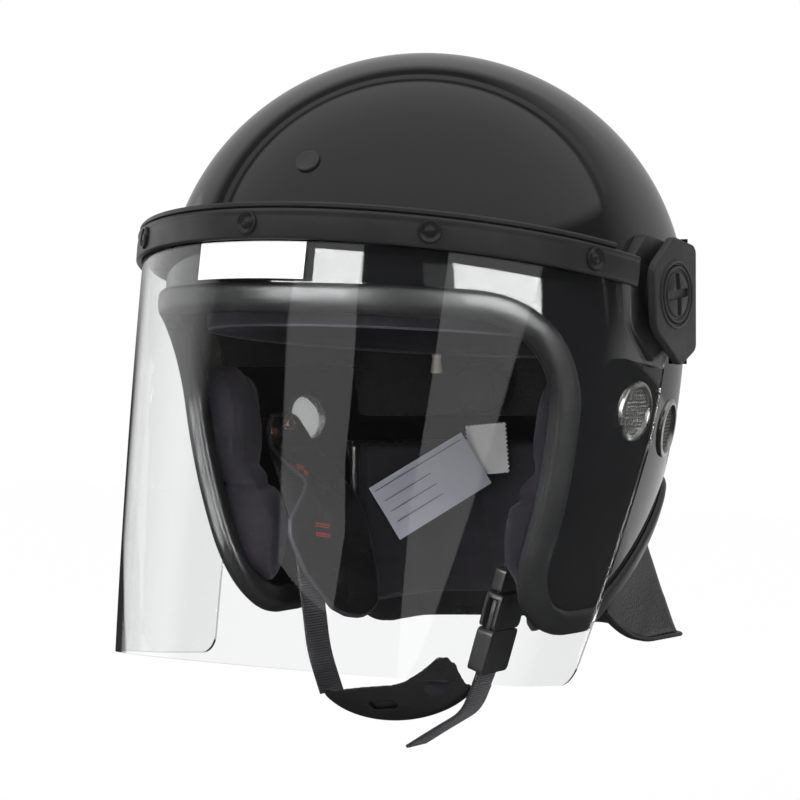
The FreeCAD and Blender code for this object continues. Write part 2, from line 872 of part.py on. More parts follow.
def make_guard_rail():
    """Strip that clamps the neck guard to the shell, above the trim."""
    ring = layer(-shell_wall - fit_gap, -shell_wall - trim_thickness - curtain_gap + 0.1)
    zone = kept_side(-trim_cover - 0.5)
    slab = box(-far, far, guard_corner_y - rail_reach, far, guard_top_z - rail_height, guard_top_z)
    return ring.common(zone).common(slab)


def ribbon(points, thickness, y, width):
    """Flat strap whose middle line runs through points in the XZ plane."""
    left = []
    right = []
    count = len(points)
    for i in range(count):
        here = Vector(points[i][0], 0, points[i][1])
        before = Vector(points[max(i - 1, 0)][0], 0, points[max(i - 1, 0)][1])
        after = Vector(points[min(i + 1, count - 1)][0], 0, points[min(i + 1, count - 1)][1])
        directions = [d.normalize() for d in (here - before, after - here) if d.Length > 0]
        along = directions[0] if len(directions) == 1 else (directions[0] + directions[1]).normalize()
        across = Vector(-along.z, 0, along.x)
        stretch = 1.0 / max(0.5, along.dot(directions[0]))
        left.append(here + across * (thickness / 2 * stretch))
        right.append(here - across * (thickness / 2 * stretch))
    ring = left + right[::-1]
    face = Part.Face(Part.makePolygon(ring + ring[:1]))
    face.translate(Vector(0, y - width / 2, 0))
    return face.extrude(Vector(0, width, 0))


def in_buckle(shape):
    """Put a shape made on the buckle's own axes in its place on the near strap."""
    copy = shape.copy()
    copy.rotate(Vector(0, 0, 0), Vector(0, 1, 0), buckle_lean)
    copy.translate(Vector(buckle_x, strap_y, buckle_z))
    return copy


def buckle_point(x, z):
    """XZ place of a point given on the buckle's own axes."""
    turn = math.radians(buckle_lean)
    return (buckle_x + x * math.cos(turn) + z * math.sin(turn), buckle_z - x * math.sin(turn) + z * math.cos(turn))


def rounded_block(x0, x1, y0, y1, z0, z1, radius):
    solid = box(x0, x1, y0, y1, z0, z1)
    upright = [e for e in solid.Edges if abs(e.tangentAt(e.FirstParameter).x) > 0.9]
    return solid.makeFillet(radius, upright)


def make_female():
    """Upper buckle half: a flat box with a slot for its webbing and a mouth at the bottom."""
    half_d = buckle_depth / 2
    half_w = buckle_width / 2
    block = rounded_block(-half_d, half_d, -half_w, half_w, 0.3, female_length, 2.5)
    cavity = box(-half_d + 1.7, half_d - 1.7, -half_w - 1, half_w + 1, -1, prong_length + 1.2)
    block = block.cut(cavity)
    slot = box(-1.4, 1.4, -webbing_width / 2 - 0.6, webbing_width / 2 + 0.6, prong_length + 0.5, female_length + 1)
    return in_buckle(block.cut(slot))


def make_male():
    """Lower buckle half: a body with a tongue and a slot for the chin webbing."""
    half_d = buckle_depth / 2
    half_w = buckle_width / 2
    body = rounded_block(-half_d, half_d, -half_w, half_w, -male_length, -0.3, 2.5)
    tongue = box(-prong_depth / 2, prong_depth / 2, -2.4, 2.4, -1, prong_length - 2)
    body = body.fuse(tongue)
    for side in (1, -1):
        pocket = box(-2.2, 2.2, side * 7.2 - 3.9, side * 7.2 + 3.9, -9.0, 1)
        body = body.cut(pocket)
    slot = box(-1.5, 1.5, -webbing_width / 2 - 0.6, webbing_width / 2 + 0.6, -male_length - 1, -male_length + 5)
    return in_buckle(body.cut(slot))


def make_prong(side):
    """Squeeze arm of the lower buckle half, with its thumb grip outside the body."""
    centre = side * 8.6
    half = prong_width / 2
    arm = box(-prong_depth / 2, prong_depth / 2, centre - half, centre + half, -8.0, prong_length)
    return in_buckle(arm)


def make_strap_left():
    """Near webbing between the flap and the upper buckle half."""
    top = (strap_exit_x, strap_exit_z + strap_top_rise)
    knee = (strap_exit_x, strap_open_z)
    return ribbon([top, knee, buckle_point(0, prong_length + 1.4)], webbing_thickness, strap_y, webbing_width)


def make_slider():
    """Three-bar slide on the near webbing above the buckle."""
    centre_z = female_length + 7.0
    block = rounded_block(-3.0, 3.0, -12.5, 12.5, centre_z - 6, centre_z + 6, 2.0)
    slot = box(-1.6, 1.6, -webbing_width / 2 - 0.5, webbing_width / 2 + 0.5, 0, 60)
    return in_buckle(block.cut(slot))


def cup_place(shape):
    copy = shape.copy()
    copy.rotate(Vector(0, 0, 0), Vector(0, 1, 0), -cup_roll)
    copy.translate(Vector(-2, cup_y, cup_z))
    return copy


def cup_zone():
    """Part of the cup's ellipsoid that is kept: its lower front."""
    corners = [
        (Vector(0, -60, -4), 0),
        (Vector(0, 2, -16), 6.0),
        (Vector(0, 16, -60), 0),
        (Vector(0, -60, -60), 0),
    ]
    face = Part.Face(rounded_outline(corners))
    face.translate(Vector(-far, 0, 0))
    return face.extrude(Vector(2 * far, 0, 0))


def make_cup():
    outer = pillow(Vector(0, 0, 0), cup_half_width, cup_half_depth, cup_height)
    inner = pillow(Vector(0, 0, 0), cup_half_width - cup_wall, cup_half_depth - cup_wall, cup_height - cup_wall)
    cup = outer.cut(inner).common(cup_zone())
    slot = box(-8, 8, -60, 0, -23, -19.2)
    return cup_place(cup.cut(slot)).cut(tail_strip(webbing_thickness + 2 * layer_gap, webbing_width))


def make_cup_pad():
    gap = cup_wall + layer_gap
    outer = pillow(Vector(0, 0, 0), cup_half_width - gap, cup_half_depth - gap, cup_height - gap)
    gap = gap + 3.0
    inner = pillow(Vector(0, 0, 0), cup_half_width - gap, cup_half_depth - gap, cup_height - gap)
    return cup_place(outer.cut(inner).common(cup_zone()))


def stud_hole(shape):
    """Cut the strap stud's hole through a left-hand piece."""
    centre, normal = strap_stud_seat(1)
    return shape.cut(cylinder(centre, normal, stud_shank + 0.2, -40, 20))


def make_flap():
    """Smooth panel on the strap stud that hangs inside the ear lobe and hides the strap's end."""
    x_stud = wall_x(strap_stud_y, strap_stud_z, -shell_wall) - flap_depth
    top = (x_stud + 1.0, strap_stud_z + 7.0)
    knee = (x_stud - 5.5, strap_stud_z - 9.0)
    points = [top, knee, (flap_waist_x, flap_waist_z), (flap_bottom_x, flap_bottom_z)]
    panel = ribbon(points, flap_thickness, flap_y, flap_width)
    return stud_hole(panel)


def make_anchor_strap():
    """Fixed webbing from the strap stud down to where the chin strap begins to swing."""
    half = webbing_width / 2
    t = webbing_thickness / 2
    x_stud = wall_x(strap_stud_y, strap_stud_z, -shell_wall) - anchor_depth
    x_exit = strap_exit_x + webbing_thickness + swing_gap
    ends = (
        (x_stud + 0.8, strap_stud_y, strap_stud_z + 6.0, 0.1),
        (x_stud - 2.2, strap_stud_y, strap_stud_z - 7.0, 0.5),
        (x_exit + 1.5, strap_y, strap_exit_z + 9.0, 0.6),
        (x_exit, strap_y, strap_exit_z + 7.0, 0.2),
        (x_exit, strap_y, strap_open_z, 0.0),
    )
    sections = []
    for x, y, z, slant in ends:
        dx = t * math.sqrt(1 - slant * slant)
        dz = t * slant
        ring = [
            Vector(x - dx, y - half, z + dz),
            Vector(x + dx, y - half, z - dz),
            Vector(x + dx, y + half, z - dz),
            Vector(x - dx, y + half, z + dz),
        ]
        sections.append(Part.makePolygon(ring + ring[:1]))
    return stud_hole(Part.makeLoft(sections, True, True))


def thin_card(centre, along, down, length, width, thickness):
    """Flat card with its long side along one direction and its short side down another."""
    u = Vector(along).normalize()
    n = u.cross(down).normalize()
    v = n.cross(u)
    corner = centre - u * (length / 2) - v * (width / 2)
    ring = [corner, corner + u * length, corner + u * length + v * width, corner + v * width, corner]
    return Part.Face(Part.makePolygon(ring)).extrude(n * thickness)


def make_label_card():
    return thin_card(card_centre, card_along, card_down, card_length, card_width, card_thickness)


def make_size_tag():
    return thin_card(tag_centre, Vector(1, 0.25, 0.1), Vector(0.1, 0, -1), tag_length, tag_width, tag_thickness)


def make_toggle():
    """Cord lock under the headband at the back."""
    y = 2 * widest_y - wall_y(toggle_x, band_rear_z, head_offset() - band_thickness / 2)
    top = band_level(y - toggle_diameter / 2) - layer_gap - 0.5
    body = cylinder(Vector(toggle_x, y, top), Vector(0, 0, -1), toggle_diameter, 0, toggle_height)
    return body.makeFillet(1.2, body.Edges)


def make_strap_right():
    """Far webbing from its flap down to the chin cup."""
    top = (-strap_exit_x, strap_exit_z + strap_top_rise)
    knee = (-strap_exit_x, strap_open_z)
    return ribbon([top, knee, far_strap_bend, far_strap_end], webbing_thickness, strap_y, webbing_width)


def tail_strip(thickness, width):
    """Band along the webbing's way from the lower buckle half to its free end."""
    start = buckle_point(0, -male_length + 4.4)
    bend = buckle_point(0, -male_length - 3.0)
    points = [start, bend] + list(tail_points)
    return ribbon(points, thickness, strap_y, width)


def make_strap_tail():
    """Webbing from the lower buckle half, under the chin cup, to its folded free end."""
    return tail_strip(webbing_thickness, webbing_width - 1)


export(make_shell(), "shell")
export(make_trim(), "edge_trim")
export(make_liner(), "impact_liner")
export(make_headband(), "headband")
export(make_crown_pad(), "crown_pad")
export(make_cheek_pad(), "cheek_pad_left")
export(mirrored(make_cheek_pad()), "cheek_pad_right")
export(make_rear_pads(), "rear_foam_pads")

for side, word in ((1, "left"), (-1, "right")):
    export(group([grille_rim(y, z, side) for y, z in grille_places]), "grille_rims_" + word)
    export(group([grille_mesh(y, z, side) for y, z in grille_places]), "grille_meshes_" + word)
    export(make_strap_stud(side), "strap_stud_" + word)
    export(make_strap_nut(side), "strap_nut_" + word)

export(make_plug(), "forehead_plug")
export(make_guard(), "neck_guard")
export(make_guard_rail(), "neck_guard_rail")
export(make_nape_pad(), "nape_pad")

export(make_shield(), "shield_sheet")
export(make_strip(), "shield_strip")
export(make_seal(), "shield_seal")
export(group([make_screw(angle) for angle in screw_angles]), "shield_screws")
export(group([make_nut(angle) for angle in screw_angles]), "shield_nuts")
export(make_badge(), "front_badge")

pivot_makers = (
    (make_pivot_base, "pivot_base"),
    (make_pivot_bush, "pivot_bush"),
    (make_pivot_washer, "pivot_washer"),
    (make_pivot_cover, "pivot_cover"),
    (make_pivot_stud, "pivot_stud"),
    (make_inner_plate, "pivot_inner_plate"),
    (make_knob, "pivot_knob"),
)
for maker, name in pivot_makers:
    solid = maker()
    export(solid, name + "_left")
    export(mirrored(solid), name + "_right")

export(make_strap_left(), "strap_left")
export(make_female(), "buckle_upper")
export(make_slider(), "strap_slider")
export(make_male(), "buckle_lower")
export(make_prong(-1), "buckle_prong_front")
export(make_prong(1), "buckle_prong_rear")
export(make_cup(), "chin_cup")
export(make_cup_pad(), "chin_cup_pad")
export(make_flap(), "ear_flap_left")
export(mirrored(make_flap()), "ear_flap_right")
export(make_anchor_strap(), "anchor_strap_left")
export(mirrored(make_anchor_strap()), "anchor_strap_right")
export(make_label_card(), "label_card")
export(make_size_tag(), "size_tag")
export(make_toggle(), "cord_lock")
export(make_strap_right(), "strap_right")
export(make_strap_tail(), "strap_tail")
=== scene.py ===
import math

import bmesh
import bpy
from mathutils import Matrix, Vector


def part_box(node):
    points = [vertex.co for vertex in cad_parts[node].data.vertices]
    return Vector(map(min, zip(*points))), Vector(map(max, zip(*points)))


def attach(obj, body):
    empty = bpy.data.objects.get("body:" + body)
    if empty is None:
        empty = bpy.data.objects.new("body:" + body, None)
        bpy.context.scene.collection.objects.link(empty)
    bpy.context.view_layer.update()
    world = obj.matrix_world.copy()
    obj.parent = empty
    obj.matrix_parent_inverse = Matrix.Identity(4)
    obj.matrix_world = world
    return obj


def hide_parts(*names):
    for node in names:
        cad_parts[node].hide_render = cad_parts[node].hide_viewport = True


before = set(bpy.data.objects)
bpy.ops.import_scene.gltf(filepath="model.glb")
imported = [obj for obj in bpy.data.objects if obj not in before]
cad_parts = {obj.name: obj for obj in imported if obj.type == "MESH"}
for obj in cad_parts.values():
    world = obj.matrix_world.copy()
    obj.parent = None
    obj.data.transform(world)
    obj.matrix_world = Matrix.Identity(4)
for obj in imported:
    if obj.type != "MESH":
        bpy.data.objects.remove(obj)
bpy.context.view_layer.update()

# Riot helmet. All sizes below are millimetres in the frame's axes: the face looks along -Y, the
# wearer's left is +X. A piece is turned into metres as its mesh is made.
MM = 0.001
far = 230.0

# Shell and its edge line. A corner of the line is (y, z, radius)
shell_half_width = 125.0
shell_half_length = 151.5
crown_height = 128.0
skirt_depth_axis = 225.0
widest_y = -1.0
widest_z = -4.0
shell_wall = 4.0
brow_front_z = -2.0
brow_corner = (-62.0, -13.0, 50.0)
cheek_corner = (-55.0, -165.0, 42.0)
lobe_corner = (10.0, -165.0, 22.0)
nape_corner = (84.0, -104.0, 30.0)
trim_cover = 11.0
trim_lip = 3.0
trim_thickness = 3.5

# Face shield, made on an upright axis and leaned about the pivots
shield_lean = 9.5
shield_thickness = 2.6
shield_radius = 135.6
shield_front = 157.5
shield_top = 11.0
shield_middle = -95.0
shield_bottom = -201.0
middle_narrowing = 9.5
bottom_narrowing = 27.0
front_advance = 3.0
leg_toe_in = 1.5
shield_leg = 60.0
bush_diameter = 12.0
bush_clearance = 0.05
strip_thickness = 3.2
strip_low = -2.5
strip_high = 12.5
strip_half_angle = 85.5
seal_half_angle = 78.0
seal_clearance = 0.5
screw_angles = (-72.0, -37.0, 0.0, 37.0, 72.0)
screw_bore = 2.1
arc_centre_y = shield_radius - shield_front

# Pivot housing, from the shell's side outward
plate_inner = 133.0
base_drop = 5.4
cover_low = 137.4
cover_high = 141.9
knob_well = 14.4

# Ear grilles, strap stud and forehead plug
grille_places = ((-6.0, -57.0), (44.0, -67.0))
grille_hole_radius = 13.2
strap_stud_place = (15.0, -72.0)
strap_stack = 19.4
plug_place = (15.0, 61.0)

# Padding
head_offset = -20.6
band_thickness = 9.0
band_height = 42.0
band_front_z = -14.0
band_rear_z = -34.0
band_panel_angle = 30.0

# Neck guard
guard_side_y = 42.0
guard_corner_y = 85.0
guard_bottom_z = -176.0
guard_flare = 20.0
side_turn_in = 0.25
corner_turn_out = 0.35
corner_sweep = 1.4
curtain_gap = 1.0

# Ear panels: (level, place) stops of their edges and of their depth
panel_top = -65.0
panel_foot = -170.5
panel_thickness = 2.4
panel_front_far = (
    (-65.0, 6.0), (-72.0, -1.0), (-84.0, -7.0), (-98.0, -12.5), (-107.0, -26.0), (-117.0, -39.0),
    (-124.0, -40.0), (-145.0, -29.0), (-164.0, -10.0), (-169.0, 2.0), (-170.5, 12.0))
panel_front_near = (
    (-65.0, 6.0), (-72.0, -1.0), (-84.0, -7.0), (-98.0, -12.0), (-106.0, -21.0), (-113.0, -25.0),
    (-120.0, -22.0), (-128.0, -10.0), (-134.0, 6.0), (-160.0, 6.5), (-167.0, 9.0), (-170.5, 13.5))
panel_rear = (
    (-65.0, 25.0), (-68.0, 29.0), (-76.0, 33.0), (-84.0, 34.0), (-156.0, 34.5), (-165.0, 31.5),
    (-169.0, 25.0), (-170.5, 18.0))
panel_main = (
    (-65.0, 107.4), (-72.0, 105.0), (-81.0, 100.5), (-92.0, 88.0), (-108.0, 72.0), (-118.0, 66.0),
    (-140.0, 60.0), (-150.0, 57.8), (-164.0, 55.4), (-170.5, 54.6))
panel_wing = (
    (-65.0, 107.0), (-81.0, 98.0), (-98.0, 69.5), (-106.0, 64.5), (-118.0, 61.4), (-130.0, 60.6),
    (-140.0, 59.2), (-150.0, 57.4), (-164.0, 55.2), (-170.5, 54.5))
tack_places = ((-2.0, -92.0), (-2.0, -95.0), (-13.0, -121.5), (-13.0, -126.5))
tack_half = 7.0
tack_stitches = 9

# Chin strap
webbing_width = 20.0
webbing_thickness = 1.8
strap_y = -20.0
strap_top_z = -121.5
strap_open_z = -130.0
far_strap_bend = (-56.5, -186.0)
far_strap_end = (-48.0, -207.0)
tail_points = ((38.0, -209.6), (20.0, -220.3), (5.0, -229.6))
buckle_x = 54.0
buckle_z = -166.0
strap_exit_x = math.hypot(buckle_x, strap_open_z - buckle_z)
buckle_lean = math.degrees(math.atan2(strap_open_z - buckle_z, buckle_x + strap_exit_x))

# Card and tag
card_size = (64.0, 33.0)
card_bow = 0.8
tag_size = (24.0, 28.0)

# Camera: its place, its direction and its lens, so that it sees the helmet as the photograph does
camera_place = (714.3, -1099.7, -19.1)
camera_azimuth = 33.707
camera_elevation = 1.526
camera_roll = 0.255
camera_lens = 114.08

# Studio seen in gloss: a leaning bright ceiling, a thin line of light beside it, a pale left side and rear
# wall. A stop is (place along a direction, level)
softbox_lean = (0.471, -0.685, 0.556)
ceiling_stops = ((-0.125, 0.0), (-0.11, 0.3), (-0.05, 0.3), (-0.035, 0.02), (-0.01, 0.02), (0.02, 0.6))
ceiling_end_stops = ((0.41, 0.0), (0.47, 1.0))
rim_stops = ((-0.31, 0.45), (-0.19, 0.03))
rim_end_stops = ((-0.02, 0.0), (0.06, 1.0))
rear_stops = ((0.66, 0.0), (0.88, 0.42))
left_stops = ((-0.92, 0.9), (-0.78, 0.0))
left_end_stops = ((-0.3, 0.0), (-0.2, 1.0), (0.28, 1.0), (0.38, 0.0))
front_level = 0.03
world_level = 0.8

# Softbox cards. A corner is (azimuth, elevation) in degrees, seen from the helmet
front_card = (
    (-11, 23), (17, 23), (15, 17), (18, 14), (20, 11), (25, 8), (26, 5), (-3, 9.5), (-9, 13), (-12, 15),
    (-14, 16.5))
side_card = ((50, 17), (95, 9), (84, 3), (79, -1), (75, -4), (66, -9), (56, -1), (51, 4))
front_inner_card = ((-24, 33), (23, 33), (23, -2), (-24, -2))
side_inner_card = ((63, 30), (98, 30), (98, -3), (63, -3))
card_distance = 2500.0
inner_card_distance = 2400.0
soft_card_level = 0.7
inner_card_level = 30.0

# Floor. Behind the helmet it gets paler, between two places in metres
floor_level = -300.0
floor_reach = 2500.0
floor_whiteness = 0.97
rear_floor_level = 0.8
rear_floor_span = (0.3, 0.65)


# Meshes

def link(data, name):
    obj = bpy.data.objects.new(name, data)
    bpy.context.scene.collection.objects.link(obj)
    return obj


def solid(name, points, faces, uvs=None):
    """New object from points in millimetres, with its faces turned outward."""
    mesh = bpy.data.meshes.new(name)
    mesh.from_pydata([Vector(p) * MM for p in points], [], faces)
    if uvs:
        layer = mesh.uv_layers.new(name="along")
        for loop in mesh.loops:
            layer.data[loop.index].uv = uvs[loop.vertex_index]
    work = bmesh.new()
    work.from_mesh(mesh)
    bmesh.ops.remove_doubles(work, verts=work.verts, dist=1e-7)
    bmesh.ops.recalc_face_normals(work, faces=work.faces)
    work.to_mesh(mesh)
    work.free()
    return link(mesh, name)


def grid_faces(rows, columns, closed_rows=False, closed_columns=False):
    faces = []
    for i in range(rows if closed_rows else rows - 1):
        for j in range(columns if closed_columns else columns - 1):
            here, there = i * columns, (i + 1) % rows * columns
            beside = (j + 1) % columns
            faces.append((here + j, here + beside, there + beside, there + j))
    return faces


def skin(name, points, around, closed=False, uvs=None):
    """Solid over rings of points, each with the same count. It has flat ends unless it closes on itself."""
    faces = grid_faces(len(points) // around, around, closed, True)
    if not closed:
        faces.append(tuple(range(around)))
        faces.append(tuple(range(len(points) - around, len(points))))
    return solid(name, points, faces, uvs)


def rim_of(rows, across):
    """Indices round the border of a grid of points."""
    last = (rows - 1) * across
    rim = list(range(across)) + [i * across + across - 1 for i in range(1, rows)]
    return rim + list(range(last + across - 2, last - 1, -1)) + [i * across for i in range(rows - 2, 0, -1)]


def thin_sheet(name, front, back, across):
    """Closed sheet between two layers of points, each in rows of the same count."""
    layer = len(front)
    faces = grid_faces(layer // across, across)
    faces += [tuple(layer + k for k in reversed(f)) for f in faces]
    rim = rim_of(layer // across, across)
    for a, b in zip(rim, rim[1:] + rim[:1]):
        faces.append((a, b, layer + b, layer + a))
    return solid(name, front + back, faces)


def sweep(name, path, profile, closed=False):
    """Skin a closed profile of (n, b) offsets along a path of (point, n, b) frames."""
    spread = [0.0]
    for a, b in zip(profile, profile[1:]):
        spread.append(spread[-1] + math.dist(a, b) * MM)
    points = []
    uvs = []
    length = 0.0
    before = path[0][0]
    for centre, n, b in path:
        length += (centre - before).length * MM
        before = centre
        for (x, y), over in zip(profile, spread):
            points.append(centre + n * x + b * y)
            uvs.append((length, over))
    return skin(name, points, len(profile), closed, uvs)


def lathe(name, profile, centre, axis, segments=48, closed=False):
    """Turn a profile of (radius, height) about an axis. A closed profile makes a ring."""
    axis = Vector(axis).normalized()
    side = axis.orthogonal().normalized()
    other = axis.cross(side)
    points = []
    for radius, height in profile:
        for k in range(segments):
            turn = 2 * math.pi * k / segments
            out = side * math.cos(turn) + other * math.sin(turn)
            points.append(Vector(centre) + axis * height + out * radius)
    return skin(name, points, segments, closed)


def rod(centre, axis, radius, start, end, segments=48):
    return lathe("rod", [(radius, start), (radius, end)], centre, axis, segments)


def prism(name, outline, low, high):
    """Closed prism of a flat outline in the YZ plane, from low to high along X."""
    points = [(x, p[0], p[1]) for x in (low, high) for p in outline]
    return skin(name, points, len(outline))


def rounded(corners, step=6.0, closed=False):
    """Points along straight runs joined by arcs. corners: (x, y, radius)."""
    points = []
    count = len(corners)
    for i, (x, y, radius) in enumerate(corners):
        here = Vector((x, y))
        if radius == 0 or (not closed and i in (0, count - 1)):
            points.append(here)
            continue
        before = (Vector(corners[i - 1][:2]) - here).normalized()
        after = (Vector(corners[(i + 1) % count][:2]) - here).normalized()
        half = before.angle(after) / 2
        centre = here + (before + after).normalized() * (radius / math.sin(half))
        swept = math.pi - 2 * half
        turns = max(2, int(math.degrees(swept) / step))
        start = (here + before * (radius / math.tan(half))) - centre
        sign = 1.0 if before.cross(after) < 0 else -1.0
        for k in range(turns + 1):
            points.append(centre + Matrix.Rotation(sign * swept * k / turns, 2) @ start)
    return points


def box_corners(x, y, last):
    """Corners of a rectangle about the origin, each with a last value: a radius or a level."""
    return [(-x, -y, last), (x, -y, last), (x, y, last), (-x, y, last)]


def circle(radius, sides):
    turns = [2 * math.pi * k / sides for k in range(sides)]
    return [(radius * math.cos(turn), radius * math.sin(turn)) for turn in turns]


def turns_across(half_angle, count):
    """Even turns in radians from one side of straight ahead to the other, half_angle in degrees."""
    return [math.radians(half_angle * (2 * k / count - 1)) for k in range(count + 1)]


def directions(line, closed=False):
    """Unit direction along a line at each of its points."""
    behind = [line[-1] if closed else line[0]] + line[:-1]
    ahead = line[1:] + [line[0] if closed else line[-1]]
    return [(b - a).normalized() for a, b in zip(behind, ahead)]


def length_of(line):
    return sum((b - a).length for a, b in zip(line, line[1:]))


def resample(points, count):
    """The same line with count equal steps."""
    lengths = [0.0]
    for a, b in zip(points, points[1:]):
        lengths.append(lengths[-1] + (b - a).length)
    out = []
    k = 0
    for i in range(count + 1):
        want = lengths[-1] * i / count
        while k < len(lengths) - 2 and lengths[k + 1] < want:
            k += 1
        run = lengths[k + 1] - lengths[k]
        out.append(points[k].lerp(points[k + 1], (want - lengths[k]) / run if run > 0 else 0))
    return out


def tube(name, line, radius, closed=False, sides=8):
    """Round cord through a line of points."""
    path = []
    side = Vector((0.3, 0.2, 0.93))
    for p, along in zip(line, directions(line, closed)):
        side = (side - along * side.dot(along)).normalized()
        path.append((p, side, along.cross(side)))
    return sweep(name, path, circle(radius, sides), closed)


def change(obj, kind, **settings):
    """Run one modifier on a piece and make its result the piece's own mesh."""
    modifier = obj.modifiers.new(kind.lower(), kind)
    for key, value in settings.items():
        setattr(modifier, key, value)
    graph = bpy.context.evaluated_depsgraph_get()
    mesh = bpy.data.meshes.new_from_object(obj.evaluated_get(graph))
    obj.modifiers.clear()
    obj.data = mesh
    return obj


def cut(obj, cutter, operation="DIFFERENCE"):
    change(obj, "BOOLEAN", operation=operation, object=cutter, solver="EXACT")
    bpy.data.objects.remove(cutter)


def bevel(obj, width, segments, angle):
    return change(
        obj, "BEVEL", width=width * MM, segments=segments, limit_method="ANGLE",
        angle_limit=math.radians(angle), harden_normals=False)


def mirror_of(obj, name):
    """The same piece on the other side of the helmet."""
    mesh = obj.data.copy()
    mesh.transform(Matrix.Scale(-1.0, 4, Vector((1, 0, 0))))
    mesh.flip_normals()
    return link(mesh, name)


def moved_across(obj, name):
    other = mirror_of(obj, name)
    bpy.data.objects.remove(obj)
    return other


def join(name, pieces):
    """One object out of several that carry one material."""
    work = bmesh.new()
    for piece in pieces:
        work.from_mesh(piece.data)
    mesh = bpy.data.meshes.new(name)
    work.to_mesh(mesh)
    work.free()
    for piece in pieces:
        bpy.data.objects.remove(piece)
    return link(mesh, name)


def finish(obj, look, *nodes, body="helmet", sharp=35.0, slot=None, fill=None):
    """Give a piece its material, shading and body, and the CAD nodes that it stands for.

    With sharp None it keeps the normals that are set already. Its slot and fill are not used."""
    obj.data.materials.clear()
    obj.data.materials.append(looks[look])
    if sharp is not None:
        for polygon in obj.data.polygons:
            polygon.use_smooth = True
        obj.data.set_sharp_from_angle(angle=math.radians(sharp))
    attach(obj, body)
    if nodes:
        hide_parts(*nodes)


def on_both_sides(obj, look, stands_for, body="helmet", **settings):
    """Finish a left-hand piece and its mirror image. Where body is a pattern, each side has its own."""
    other = mirror_of(obj, obj.name + "_far")
    for piece, side in ((obj, "left"), (other, "right")):
        finish(piece, look, stands_for + "_" + side, body=body.format(side), **settings)


def give(look, *nodes):
    """Put a material on CAD nodes that keep their shape."""
    for name in nodes:
        obj = bpy.data.objects[name]
        obj.data.materials.clear()
        obj.data.materials.append(looks[look])


def held(value):
    """The value, held between 0 and 1."""
    return max(0.0, min(1.0, value))


# Shell surface

def shell_share(x, y, z, grow=0.0):
    """Under 1 inside the shell's outer face grown by some, 1 on it and over 1 outside."""
    height = (crown_height if z > widest_z else skirt_depth_axis) + grow
    across = x / (shell_half_width + grow)
    along = (y - widest_y) / (shell_half_length + grow)
    return across ** 2 + along ** 2 + ((z - widest_z) / height) ** 2


def wall_x(y, z, grow=0.0):
    """X of the shell's outer face at y and z, grown by some."""
    return (shell_half_width + grow) * math.sqrt(max(1 - shell_share(0, y, z, grow), 0.0))


def wall_y(x, z, grow=0.0, rear=False):
    """Y of the shell's front or rear face at x and z, grown by some."""
    reach = (shell_half_length + grow) * math.sqrt(max(1 - shell_share(x, widest_y, z, grow), 0.0))
    return widest_y + (reach if rear else -reach)


def wall_normal(x, y, z):
    height = crown_height if z > widest_z else skirt_depth_axis
    away = (x / shell_half_width ** 2, (y - widest_y) / shell_half_length ** 2, (z - widest_z) / height ** 2)
    return Vector(away).normalized()


def seat_on_side(y, z, side=1):
    """Centre on the shell's face and outward direction at a place on one side."""
    x = wall_x(y, z)
    n = wall_normal(x, y, z)
    return Vector((side * x, y, z)), Vector((side * n.x, n.y, n.z))


def seat_on_front(x, z):
    y = wall_y(x, z)
    return Vector((x, y, z)), wall_normal(x, y, z)


def shell_ball(name, grow, around=200, rings=60):
    """Closed surface of the shell's two half ellipsoids, grown by some."""
    a = shell_half_width + grow
    b = shell_half_length + grow
    points = []
    for i in range(1, 2 * rings):
        turn = math.pi * (i / (2 * rings) - 0.5)
        flat = math.cos(turn)
        height = (crown_height if turn > 0 else skirt_depth_axis) + grow
        z = widest_z + height * math.sin(turn)
        for k in range(around):
            angle = 2 * math.pi * k / around
            points.append((a * flat * math.cos(angle), widest_y + b * flat * math.sin(angle), z))
    faces = grid_faces(2 * rings - 1, around, False, True)
    low = len(points)
    points.append((0, widest_y, widest_z - skirt_depth_axis - grow))
    points.append((0, widest_y, widest_z + crown_height + grow))
    top_row = (2 * rings - 2) * around
    for k in range(around):
        beside = (k + 1) % around
        faces.append((k, beside, low))
        faces.append((top_row + k, top_row + beside, low + 1))
    return solid(name, points, faces)


def edge_outline():
    """Side view of the shell's edge from far in front to far behind."""
    start = (-far, brow_front_z, 0)
    end = (far, nape_corner[1], 0)
    return rounded([start, brow_corner, cheek_corner, lobe_corner, nape_corner, end], 4.0)


def edge_path(spacing):
    """Points and frames round the whole edge of the shell, from the brow's middle round both sides."""
    outline = edge_outline()
    dense = []
    for a, b in zip(outline, outline[1:]):
        steps = max(1, int((b - a).length / 0.25))
        dense += [a.lerp(b, k / steps) for k in range(steps)]
    half = [Vector((wall_x(*p), *p)) for p in dense if shell_share(0, *p) < 1]
    half = [Vector((0, half[0].y - 0.05, half[0].z))] + half + [Vector((0, half[-1].y + 0.05, half[-1].z))]
    even = resample(half, int(length_of(half) / spacing))
    loop = even + [Vector((-p.x, p.y, p.z)) for p in even[-2:0:-1]]
    path = []
    for p, along in zip(loop, directions(loop, closed=True)):
        n = wall_normal(*p)
        path.append((p, n, n.cross(along).normalized()))
    return path


